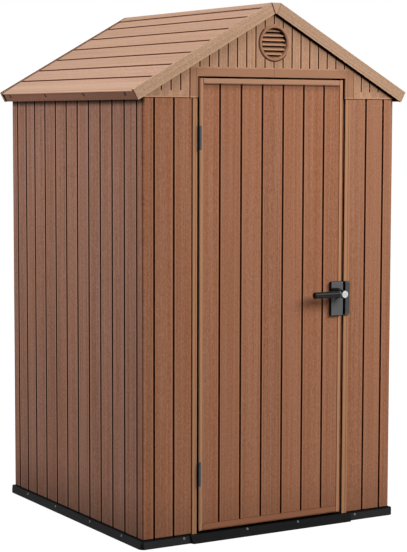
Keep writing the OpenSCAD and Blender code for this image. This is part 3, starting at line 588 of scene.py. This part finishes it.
def round_front_corner(tree, at):
    """Across a front corner panel: along X on its front, then along Y on its side."""
    along_side = calc(tree, "MAXIMUM", minus(tree, at.y, FRONT + TURN), 0.0)
    return calc(tree, "MULTIPLY_ADD", along_side, FRONT_RATE,
                calc(tree, "MINIMUM", at.x, HALF_W - TURN))


def round_back_corner(tree, at):
    """Across a back corner panel: along Y on its side, then along X on its back."""
    along_back = calc(tree, "MINIMUM", minus(tree, at.x, HALF_W - TURN), 0.0)
    return calc(tree, "MULTIPLY_ADD", along_back, BACK_RATE,
                calc(tree, "MAXIMUM", minus(tree, HALF_D, at.y), TURN))


def wall_marks(tree, at):
    """Painted shade near the ground, under the eaves and along a side towards the front,
    and a painted shadow line where the tray begins."""
    low = dim_low(tree, at, calc(tree, "MULTIPLY_ADD", on_front(tree, at), -0.2, 0.42))
    under = all_of(tree, step(tree, at.z, GABLE_FOOT, -39, -11),
                   step(tree, at.x, HALF_W, -12, -6), 0.75)
    side = all_of(tree, step(tree, at.x, HALF_W, -3, -1.5),
                  ramp(tree, at.y, 0.2, -0.56, 0.0, 0.1))
    foot = step(tree, at.z, TRAY_TOP, 4.2, 3)
    return [(low, BLACK), (under, BLACK), (side, BLACK), (foot, BLACK)]


def corner_marks(tree, at):
    """Painted shade lines at the corner and by the left jamb; the left front darker towards
    the corner with painted shade and the right front greyer towards the top; then the
    walls' marks."""
    corner = all_of(tree, step(tree, at.x, HALF_W, -4.5, -3),
                    step(tree, calc(tree, "ABSOLUTE", at.y), HALF_D, -5, -3), near_face(tree, at))
    left_front = all_of(tree, at.left, on_front(tree, at))
    jamb_shadow = all_of(tree, left_front, step(tree, at.x, JAMB_OUT, 3.8, 3))
    darker = all_of(tree, left_front, ramp(tree, at.x, JAMB_OUT, HALF_W - 2 * MM, 0.03, 0.12))
    greyer = all_of(tree, at.right, on_front(tree, at), on_face(tree, at),
                    ramp(tree, at.z, 0.5, 1.6, 0.08, 0.32))
    return [(darker, BLACK), (greyer, (172, 127, 100)), (corner, (112, 64, 42)),
            (jamb_shadow, (84, 46, 28)), *wall_marks(tree, at)]


def door_marks(tree, at):
    """Painted shade and a painted shadow line under the door's top rail, with a pale edge
    next to the rail, painted shade towards the ground, and the seam over its bottom rail."""
    under = all_of(tree, step(tree, at.z, TOP_RAIL, -34, -4), 0.34)
    line = step(tree, at.z, TOP_RAIL, -7, -5.5)
    edge = step(tree, at.z, TOP_RAIL, -2.8, -2)
    foot = step(tree, at.z, LOW_RAIL_TOP, 2.5, 1.5)
    return [(under, BLACK), (dim_low(tree, at, 0.24), BLACK), (line, (76, 40, 27)),
            (edge, (160, 118, 90)), (foot, (120, 74, 50))]


def gable_edge(tree, at):
    """A paler rim along a gable's lower edge."""
    rim = step(tree, at.z, GABLE_FOOT, 5.5, 4)
    return [(all_of(tree, rim, on_face(tree, at)), (202, 154, 121))]


def front_gable_marks(tree, at):
    """The smooth band over the door with its seam and side lines, the slots of which are
    painted pale as painted light, paler on the right; the gable's rim; the groove over the
    seam in painted shade; painted shade beside the vent and under the barge boards;
    painted shade on the cheek of the left leg; and painted shade in the doorway's gap."""
    band = all_of(tree, step(tree, at.x, BAND_HALF, 0.5, -0.5),
                  step(tree, at.z, BAND_TOP, 0.5, -0.5))
    line = all_of(tree, within(tree, at.x, BAND_HALF, -1.2, 5),
                  step(tree, at.below, 0, 0.1, 0.6), step(tree, at.z, BAND_TOP, 4.5, 3.5))
    right_line = all_of(tree, line, at.right)
    seam = all_of(tree, band, step(tree, at.below, 0, -1.8, -1.2), step(tree, at.x, 0, 3, 2.4))
    centre = all_of(tree, between(tree, at.z, BAND_TOP + 7.5 * MM, VENT_Z - 58 * MM),
                    step(tree, at.x, 0, 2.6, 1.8))
    rise, radius = vent_distance(tree, at)
    lower_left = ramp(tree, calc(tree, "MULTIPLY_ADD", at.sign, at.x, rise), 0.03, 0.0)
    round_line = all_of(tree, step(tree, radius, VENT_R, 4, 3.2), lower_left)
    lift = distance_along(tree, at, *LIFT)
    dim = all_of(tree, ramp(tree, lift, -0.105, -0.045), 0.26)
    soft = calc(tree, "MULTIPLY_ADD", at.sign, 0.003, 0.0055)
    foot = calc(tree, "DIVIDE", calc(tree, "ADD", lift, BARGE_DROP), soft)
    barge = ramp(tree, foot, -1.2, -0.4)
    cheek = all_of(tree, step(tree, at.x, DOORWAY_HALF, 3.5, 2.7), under_header(tree, at),
                   at.left)
    return [(band, BAND), (dim, BLACK), *gable_edge(tree, at), (line, (196, 148, 114)),
            (right_line, (214, 178, 154)), (seam, (120, 78, 54)), (centre, (92, 44, 26)),
            (round_line, (84, 46, 32)), (cheek, (100, 62, 44)), (barge, (40, 20, 13)),
            (doorway_gap_shade(tree, at), BLACK)]


def roof_marks(tree, at):
    """A painted highlight where the panel swells out to the eave, painted shade on its nose
    and a painted highlight on its edge, and painted shade beside the ridge cap and at the
    back."""
    down = distance_along(tree, at, *DOWN)
    swell_highlight = all_of(tree, step(tree, down, TIP, -75, -50), step(tree, down, TIP, -20, -35), 0.45)
    nose = step(tree, down, TIP, -17, -15.5)
    edge = step(tree, down, TIP, -2.8, -2)
    cap = all_of(tree, step(tree, down, CAP_DOWN, 0.5, -0.5),
                 step(tree, at.below, 0, 0.4, 1.2))
    rear = step(tree, at.y, HALF_D, -9, -7)
    return [(swell_highlight, (204, 167, 137)), (nose, (192, 147, 116)), (edge, (236, 188, 152)),
            (cap, (74, 42, 30)), (rear, (122, 78, 56))]


def cap_marks(tree, at):
    """A shaded lower edge on the ridge cap."""
    return [(step(tree, at.x, CAP_HALF, -4.2, -2.7), (96, 56, 38))]


def barge_marks(tree, at):
    """The right boards darker with painted shade, a pale lower rim, and painted shade
    beside the ridge's wedge.  The end beside the eave takes the eave's colour, the top of
    a back board has painted shade, and the hollow behind a board is painted black as shade."""
    down = distance_along(tree, at, *DOWN)
    right = all_of(tree, at.right, 0.09)
    rim = all_of(tree, step(tree, at.below, 0, 39.5, 41), 0.7)
    end = all_of(tree, step(tree, down, TIP, -1, -0.4), ramp(tree, at.y, 0.0, -0.1))
    top = all_of(tree, step(tree, at.below, 0, 0.9, 0.3), ramp(tree, at.y, 0.1, 0.2))
    hollow = all_of(tree, step(tree, gable_depth(tree, at), 0, -9.8, -9),
                    step(tree, at.below, 0, 3.2, 4.2), step(tree, down, TIP, -0.8, -1.6))
    wedge = calc(tree, "MULTIPLY_ADD", minus(tree, at.z, WEDGE_FOOT), WEDGE_LEAN, BARGE_IN)
    near = step(tree, minus(tree, at.x, wedge), 0, 3.4, 2.4)
    return [(right, BLACK), (rim, (210, 172, 138)), (end, (152, 104, 78)), (top, (96, 54, 38)),
            (hollow, BLACK), (near, (140, 98, 74)), (all_of(tree, near, at.left), (58, 32, 22))]


def eave_marks(tree, at):
    """Painted shade towards the front, a painted shadow line under the roof panel's lip, the
    seam below it, and painted shade, nearly black, on the back and rear end of the board."""
    down = distance_along(tree, at, *DOWN)
    dim = all_of(tree, ramp(tree, at.y, 0.45, -0.6), 0.24)
    line = step(tree, at.below, 0, 10.2, 9.2)
    seam = all_of(tree, within(tree, at.below, 0, 15, 17.8), step(tree, down, TIP, -5, -3))
    back = step(tree, down, TIP, -7.5, -8.5)
    end = step(tree, at.y, EAVE_BACK, -7, -6)
    return [(dim, BLACK), (line, (100, 62, 44)), (seam, (156, 104, 76)), (back, (40, 26, 20)),
            (end, BLACK)]


board_material("front boards", WOOD, wall_depth, round_front_corner, UP,
               HALF_W - FRONT_CORNER_BOARD, WALL_BOARD, 100, contrast=1.2, marks=corner_marks)
board_material("back corner boards", SIDES, wall_depth, round_back_corner, UP,
               BACK_CORNER_BOARD, WALL_BOARD, 200, half=0.0056, lip=0.012, contrast=1.5,
               marks=corner_marks, specular=0.02)
board_material("side boards", SIDES, wall_depth, BACKWARDS, UP,
               ends("wall_right", "y")[0], SIDE_BOARD, 300, half=0.0056, lip=0.012,
               contrast=1.5, marks=wall_marks, specular=0.02)
board_material("back boards", WOOD, wall_depth, SIDEWAYS, UP, BACK_BOARD / 2, BACK_BOARD, 400,
               contrast=1.2, marks=wall_marks)
board_material("door boards", WOOD, door_depth, SIDEWAYS, UP, DOOR_BOARD / 2, DOOR_BOARD, 503,
               arched=0.4, contrast=1.05, marks=door_marks)
board_material("roof boards", ROOF, roof_depth, DOWN, BACKWARDS, TIP - 0.1033, ROOF_BOARD, 600,
               half=0.0062, lip=0.01, contrast=0.6, arched=0.2, marks=roof_marks,
               specular=0.0)
for name, seed, marks in (("gable front boards", 700, front_gable_marks),
                          ("gable back boards", 800, gable_edge)):
    board_material(name, GABLE, gable_depth, SIDEWAYS, UP, 0.0, GABLE_BOARD, seed,
                   half=0.0034, deep=0.0001, lip=0.0058, contrast=0.8, arched=0.2,
                   marks=marks, specular=0.0)

# A barge board, an eave board and the ridge cap are single boards without grooves.
board_material("barge boards", BARGE, barge_depth, LIFT, DOWN, -0.2, 0.8, 900, contrast=0.9,
               rings=0.005, grooves=False, marks=barge_marks, specular=0.0)
board_material("eave boards", FASCIA, barge_depth, LIFT, BACKWARDS, -0.2, 0.8, 1000,
               contrast=0.7, grooves=False, marks=eave_marks, specular=0.0)
board_material("cap boards", ROOF, barge_depth, SIDEWAYS, BACKWARDS, -0.3, 0.6, 1100,
               contrast=0.6, grooves=False, marks=cap_marks, specular=0.0)

# %% [markdown]
# ## Plain finishes
# Smooth resin, black resin and steel need no boards.  They share the group of
# fine noise, with a finer grit on the trim and a coarser one on the tray.
# Some of them change colour with the place on the piece, mostly as painted light and
# shade: the lock is black with painted light making its face charcoal, and a vent gets
# painted shade behind its louvres.

# %% Plain finishes
def plain_material(name, colour, roughness=0.45, cloud=0.05, grit=0.0008, marks=None, **more):
    """A moulded or cast finish of one colour with soft clouds and fine grit, with
    (mask, colour) pairs from marks(tree, at) laid over it."""
    tree, shader = new_material(name, roughness, **more)
    out = place(tree, face, {"Colour": tint(colour), "Cloud": cloud, "Grit size": grit})
    shown = out["Colour"]
    for mask, other in (marks(tree, Spot(tree)) if marks else ()):
        shown = mix(tree, mask, shown, tint(other))
    fill(tree, shader, {"Base Color": shown,
                        "Roughness": calc(tree, "ADD", out["Roughness shift"], roughness)})
    bump(tree, shader, out["Height"], 0.00005)


def trim_marks(tree, at):
    """A paler strip on the bead by the door and a painted highlight on the cheek inside the
    gap; painted shade as dark lines by the gable's leg and the left planks; and painted
    shade in the gaps round the door and the lock."""
    bead = all_of(tree, within(tree, at.x, DOORWAY_HALF, 0, 8), step(tree, at.y, FRONT, -1, -2))
    cheek = all_of(tree, step(tree, at.x, DOORWAY_HALF, 0.8, 0.4),
                   step(tree, at.y, FRONT, 8.2, 8.6))
    edge = all_of(tree, step(tree, at.x, DOORWAY_HALF, 3.9, 3.1),
                  step(tree, at.z, GABLE_FOOT, 1.5, 0.5), at.left)
    jamb_shadow = all_of(tree, step(tree, at.x, JAMB_OUT, -0.6, -0.2),
                   step(tree, at.y, JAMB_FACE, 0.2, 1), at.left)
    return [(bead, (190, 140, 106)), (cheek, (252, 204, 162)), (doorway_gap_shade(tree, at), BLACK),
            (edge, BLACK), (jamb_shadow, (84, 46, 28)), (lock_gap(tree, at), BLACK)]


def stile_marks(tree, at):
    """Paler outer edges on the door's frame, a line beside the boards, and on the left
    stile a painted highlight on its cheek with black painted shade behind it; then painted
    shade in the lock's gap."""
    outer = all_of(tree, step(tree, at.x, DOOR_HALF, -5.5, -4.5), step(tree, at.y, FRONT, 5, 4))
    inner = all_of(tree, step(tree, at.x, STILE_IN, 5.2, 4.2), at.left)
    line = all_of(tree, step(tree, at.x, STILE_IN, 3.6, 2.8), at.right)
    cheek = all_of(tree, step(tree, at.x, DOOR_HALF, -0.8, -0.2),
                   step(tree, at.y, FRONT, 0.2, 0.8), at.left)
    gap_shade = all_of(tree, cheek, within(tree, at.y, FRONT, 6.5, 30))
    return [(outer, (204, 151, 114)), (inner, (174, 122, 92)), (cheek, (240, 188, 148)),
            (line, (140, 92, 66)), (gap_shade, BLACK), (lock_gap(tree, at), BLACK)]


def vent_marks(tree, at):
    """A darker ring round the louvres; painted shade on the louvres that grows inwards and
    upwards and deepens behind them; and deep painted shade along the opening's edge."""
    below = gable_depth(tree, at)
    rise, radius = vent_distance(tree, at)
    ring = step(tree, below, 0, -0.6, -1.2)
    louvre = step(tree, radius, VENT_HOLE, -0.3, -0.9)
    fade = all_of(tree, louvre, step(tree, below, 0, 4, 11.5), 0.7)
    top = all_of(tree, louvre, step(tree, rise, 0, 32, 48), 0.4)
    deep = step(tree, below, 0, 12, 14)
    upper_left = calc(tree, "MAXIMUM", at.left, step(tree, rise, 0, 30, 40))
    inside = all_of(tree, within(tree, radius, VENT_HOLE, -1, 1.5), upper_left)
    rear = all_of(tree, within(tree, radius, VENT_HOLE, -5.5, 1), at.right,
                  step(tree, below, 0, 0, 1.5), step(tree, rise, 0, 0, 10))
    return [(ring, (165, 118, 90)), (fade, (60, 26, 14)), (top, BLACK), (deep, (96, 52, 32)),
            (inside, (64, 34, 23)), (rear, (40, 20, 14))]


def rail_marks(tree, at):
    """The lower rail is browner than the upper one, and a little darker along its top
    edge than on its face."""
    low = ramp(tree, at.z, 0.5, 0.4)
    line = within(tree, at.z, LOW_RAIL_TOP, -2.5, 16)
    foot = step(tree, at.z, LOW_RAIL_FOOT, 4.5, 3)
    return [(low, (156, 103, 74)), (line, (148, 97, 70)), (foot, (160, 107, 77))]


def lock_marks(tree, at):
    """Painted light on the front of the black plates, charcoal and darker on the keeper,
    with a painted highlight on their rim and more painted light below the lever where its
    shadow falls; black on the rose and painted shadow of the lever."""
    front = step(tree, at.y, KEEPER_FACE, 1.4, 0.6)
    under = all_of(tree, front, step(tree, at.z, LEVER_Z, -42, -20),
                   step(tree, at.z, LEVER_Z, -14, -16), step(tree, at.x, LEVER_X, -7, -17))
    keeper = all_of(tree, front, step(tree, at.x, LOCK_SPLIT, 2.5, 4.5))
    middle = calc(tree, "ABSOLUTE", minus(tree, at.z, (LOCK_LOW + LOCK_HIGH) / 2))
    inset = minus(tree, (LOCK_HIGH - LOCK_LOW) / 2, middle)
    gap = calc(tree, "ABSOLUTE", minus(tree, at.x, LOCK_SPLIT))
    inset = calc(tree, "MINIMUM", inset, gap)
    inset = calc(tree, "MINIMUM", inset, minus(tree, at.x, LOCK_LEFT))
    rim = all_of(tree, front, step(tree, inset, 0, 5, 4))
    radius = length(tree, minus(tree, at.x, LEVER_X), minus(tree, at.z, LEVER_Z))
    rose = all_of(tree, step(tree, radius, 0, 22.2, 21.7),
                  step(tree, at.y, KEEPER_FACE, 0, -0.4))
    shade = all_of(tree, within(tree, at.x, LEVER_X, -39, 0),
                   between(tree, at.z, LEVER_Z, LEVER_Z + 21.5 * MM, MM))
    return [(front, (100, 100, 100)), (under, (136, 136, 136)), (keeper, (80, 80, 81)),
            (rim, (106, 106, 107)), (calc(tree, "MAXIMUM", rose, shade), BLACK)]


def lever_marks(tree, at):
    """A painted highlight ring where the grip leaves the hub, and an end painted black as shade.
    """
    ring = all_of(tree, within(tree, at.x, LEVER_X, -20.3, -17.5),
                  step(tree, at.y, LEVER_NECK, 1, -1))
    end = step(tree, at.x, LEVER_END, 3, 1.5)
    return [(ring, (120, 120, 120)), (end, BLACK)]


def hinge_marks(tree, at):
    """Painted light on the front of the knuckles, slate grey; black elsewhere."""
    front = all_of(tree, step(tree, at.y, HINGE_FACE, 6, 4),
                   step(tree, at.x, DOORWAY_HALF, 0, -1.5))
    return [(front, (74, 82, 86))]


def tray_marks(tree, at):
    """Painted shade, near black, along the tray's top and round its corners; its sides a little
    darker with painted shade.
    """
    side = step(tree, at.x, HALF_W, 0.5, 2)
    corner = all_of(tree, step(tree, at.x, HALF_W, -0.5, 2),
                    step(tree, calc(tree, "ABSOLUTE", at.y), HALF_D, -0.5, 2))
    top = step(tree, at.z, TRAY_TOP, -5.4, -3.4)
    return [(side, (14, 14, 14)), (calc(tree, "MAXIMUM", corner, top), (2, 2, 2))]


def sill_marks(tree, at):
    """Ends painted black as shade, and faint ribs along the sill's slope."""
    rib = calc(tree, "SINE", times(tree, at.y, 1400.0))
    ribs = all_of(tree, ramp(tree, rib, 0.3, 0.8), step(tree, at.z, 0, 6, 8), 0.6)
    return [(ribs, (12, 12, 12)), (step(tree, at.x, SILL_HALF, -5.5, -4), BLACK)]


plain_material("smooth trim", TRIM, marks=trim_marks, specular=0.03)
# the door's frame: the same resin as the smooth trim, painted lighter as painted light
plain_material("door trim", (199, 148, 113), marks=stile_marks, specular=0.03)
plain_material("vent resin", (198, 149, 116), marks=vent_marks)
plain_material("door rail", (180, 133, 103), marks=rail_marks)
plain_material("wedge resin", (190, 152, 124), specular=0.1)
plain_material("tray black", (37, 37, 37), 0.6, 0.1, 0.0015, tray_marks, specular=0.08)
plain_material("sill black", (20, 20, 21), 0.6, 0.1, 0.0015, sill_marks, specular=0.05)
plain_material("hinge black", (14, 14, 15), marks=hinge_marks, specular=0.25)
# black resin; the charcoal of its face is painted light
plain_material("lock grey", (12, 12, 12), marks=lock_marks, specular=0.08)
plain_material("lever black", (4, 4, 4), 0.34, marks=lever_marks)
plain_material("cylinder steel", (188, 188, 188), 0.42, metallic=1.0)
plain_material("beam steel", (180, 182, 184), 0.35, 0.2, 0.004, metallic=1.0)
plain_material("tray screw", (118, 120, 122), 0.4, metallic=0.6)
plain_material("eave screw", (8, 14, 20), 0.35, specular=0.06)

# %% [markdown]
# ## Giving each piece its finish
# The names of the pieces say what they are, so a short list of beginnings is
# enough to give every piece its finish.  The first beginning that fits a name
# counts, so a longer one stands before a shorter one.

# %% Assign
starts = {
    "corner_front": "front boards", "corner_back": "back corner boards",
    "wall_back": "back boards", "wall_": "side boards", "door_panel": "door boards",
    "roof_": "roof boards", "ridge_cap": "cap boards", "gable_front": "gable front boards",
    "gable_back": "gable back boards", "barge_": "barge boards", "ridge_end": "wedge resin",
    "eave_": "eave boards", "vent_": "vent resin", "door_jamb": "smooth trim",
    "door_stile": "door trim", "door_": "door rail", "header_rail": "smooth trim",
    "floor_": "tray black", "threshold_sill": "sill black", "hinge_": "hinge black",
    "lock_cylinder": "cylinder steel", "lock_": "lock grey", "lever_handle": "lever black",
    "ridge_beam": "beam steel",
}
for name, piece in nodes.items():
    finish = finishes[next(value for key, value in starts.items() if name.startswith(key))]
    piece.data.materials.clear()
    piece.data.materials.append(finish)
print("finished pieces:", len(nodes))

# %% [markdown]
# ## Screws
# Small screws hold the tray's skirt, the sill and the eave boards.  A head is
# one surface over two parameters: a radius and an angle.  Its height is a low
# dome on a low rim, less a cross-shaped recess with soft walls, and its last
# ring dips below the face it sits on.  All the heads of one kind share one
# mesh: the same surface is set down at each place, turned so that its own Z
# points out of the face there.

# %% Screw heads
def strip(distance, half, soft):
    """1 inside a strip of the given half width, falling to 0 over its soft edge."""
    return np.clip((half + soft - np.abs(distance)) / soft, 0, 1)


def screw_heads(name, places, radius, dome, material, rings=14, turns=40):
    """Screw heads at (point, outward direction) pairs.  Over r and the angle a:
    x = r cos a, y = r sin a, z = dome (0.2 + 0.8 (1 - (r/R)^2) - 1.2 cross(x, y)),
    and z = -0.3 dome on one more ring at r = R."""
    r = np.append(np.linspace(0.02, 1, rings), 1.0)[:, None] * radius
    a = np.linspace(0, 2 * np.pi, turns, endpoint=False)[None, :]
    x, y = r * np.cos(a), r * np.sin(a)
    arm, span = 0.12 * radius, 0.55 * radius  # half width and half length of its arms
    cross = np.maximum(strip(x, arm, arm) * strip(y, span, arm),
                       strip(y, arm, arm) * strip(x, span, arm))
    z = dome * (1 - (r / radius) ** 2) * 0.8 + dome * 0.2 - 1.2 * dome * cross
    z[-1] = -0.3 * dome
    points, faces = [], []
    ring, turn = np.meshgrid(np.arange(rings), np.arange(turns), indexing="ij")
    one = (ring * turns + turn).ravel()
    two = (ring * turns + (turn + 1) % turns).ravel()
    quads = np.stack([one, two, two + turns, one + turns], axis=1)[:, ::-1]
    for number, (point, out) in enumerate(places):
        out = Vector(out).normalized()
        right = Vector((0, 0, 1)).cross(out).normalized()
        above = out.cross(right)
        axes = np.array([right, above, out])
        surface = np.stack([x, y, z], axis=-1).reshape(-1, 3) @ axes + np.array(point)
        points.append(surface)
        faces.append(quads + number * len(surface))
    mesh = bpy.data.meshes.new(name)
    mesh.from_pydata(np.concatenate(points).tolist(), [], np.concatenate(faces).tolist())
    mesh.polygons.foreach_set("use_smooth", np.ones(len(mesh.polygons), dtype=bool))
    mesh.materials.append(material)
    made = bpy.data.objects.new(name, mesh)
    scene.collection.objects.link(made)
    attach(made, "shed")
    print("screws:", name, len(places), "heads,", len(mesh.polygons), "faces")


BOTH = (-1, 1)  # the sign of each side
DOME = 0.0014
SKIRT = 0.015  # the skirt stands out so far at the ground
LEAN = 0.007 / 0.032  # and leans in so much per metre up
SCREW_Z = 0.0215
out_here = SKIRT - LEAN * SCREW_Z
tray_places = [((s * (HALF_W + out_here), y, SCREW_Z), (s, 0, LEAN))
               for s in BOTH for y in (-0.422, -0.155, 0.155, 0.422)]
tray_places += [((x, s * (HALF_D + out_here), SCREW_Z), (0, s, LEAN))
                for s in BOTH for x in (-0.398, 0.398)]
sill_y, sill_z, sill_out = -0.5892, 0.0270, (0, -0.891, 0.454)
tray_places += [((x, sill_y, sill_z), sill_out) for x in (-0.118, 0.118)]
eave_down, eave_lift = TIP - 0.0015, -0.0185
eave_x = eave_down * down_x - eave_lift * down_z
eave_z = apex_z + eave_down * down_z + eave_lift * down_x
eave_places = [((s * eave_x, y, eave_z), (s * down_x, 0, down_z))
               for s in BOTH for y in (-0.508, -0.169, 0.169, 0.508)]
screw_heads("tray_screws", tray_places, 0.0046, DOME, finishes["tray screw"])
screw_heads("eave_screws", eave_places, 0.0084, DOME, finishes["eave screw"])

# %% [markdown]
# ## Floor, sky and lamps
# The floor is a wide sheet that keeps the shed's soft shadow.  It is a middle
# grey to the light, so that it throws little back at the shed, but the camera
# and reflections see it lifted to white.  The sky is treated alike.  Large
# soft lamps act as the studio's softboxes.

# %% Stage and lights
WHITE = (1, 1, 1, 1)
FAR_OFF = 30  # half the floor's width


def seen_directly(tree):
    """1 for a ray from the camera, a reflection or a clear piece, 0 for lighting."""
    path = add(tree, "LightPath").outputs
    seen = calc(tree, "MAXIMUM", path["Is Camera Ray"], path["Is Glossy Ray"])
    return calc(tree, "MAXIMUM", seen, path["Is Transmission Ray"])


floor_mesh = bpy.data.meshes.new("studio_floor")
corners = [(FAR_OFF * x, FAR_OFF * y, 0) for x, y in ((-1, -1), (1, -1), (1, 1), (-1, 1))]
floor_mesh.from_pydata(corners, [], [(0, 1, 2, 3)])
floor = bpy.data.objects.new("studio_floor", floor_mesh)
scene.collection.objects.link(floor)
tree, shader = new_material("studio floor", 0.9, specular=0.0)
fill(tree, shader, {"Base Color": tint((118, 118, 118))})
from_middle = add(tree, "VectorMath", {0: add(tree, "TexCoord").outputs["Object"]},
                  operation="LENGTH").outputs["Value"]
lifted = times(tree, seen_directly(tree), ramp(tree, from_middle, 1.5, 4.5, 0.9, 1.0))
glow = add(tree, "Emission", {"Color": WHITE, "Strength": lifted})
both = add(tree, "AddShader", {0: shader.outputs[0], 1: glow.outputs[0]})
fill(tree, tree.nodes["Material Output"], {"Surface": both.outputs[0]})
floor_mesh.materials.append(finishes["studio floor"])

scene.world = bpy.data.worlds.new("studio")
scene.world.use_nodes = True
sky = scene.world.node_tree
fill(sky, sky.nodes["Background"], {
    "Color": WHITE, "Strength": calc(sky, "MULTIPLY_ADD", seen_directly(sky), 0.86, 0.14)})


def softbox(name, place_at, aim, size, power, colour=(1, 1, 1)):
    """A square area lamp at place_at that faces aim."""
    lamp = bpy.data.lights.new(name, "AREA")
    lamp.size, lamp.energy, lamp.color = size, power, colour
    made = bpy.data.objects.new(name, lamp)
    scene.collection.objects.link(made)
    made.location = place_at
    made.rotation_mode = "QUATERNION"
    made.rotation_quaternion = (Vector(aim) - Vector(place_at)).to_track_quat("-Z", "Y")
    print("lamp:", name, power, "W")


softbox("key", (3.3, -4.5, 3.9), (0, 0, 1.2), 2.8, 192)
softbox("front", (0.9, -4.9, 3.6), (0, 0, 1.0), 2.5, 94)
softbox("top", (-1.0, 0.5, 6.0), (0, 0, 1.8), 3.0, 110)
softbox("left", (-3.4, -0.3, 2.7), (-0.57, 0, 1.2), 2.0, 68, (0.85, 0.99, 1.28))
softbox("back", (3.0, 5.0, 3.8), (0, 0, 1.2), 2.5, 60)

# %% Finish
scene.view_settings.view_transform = "Standard"
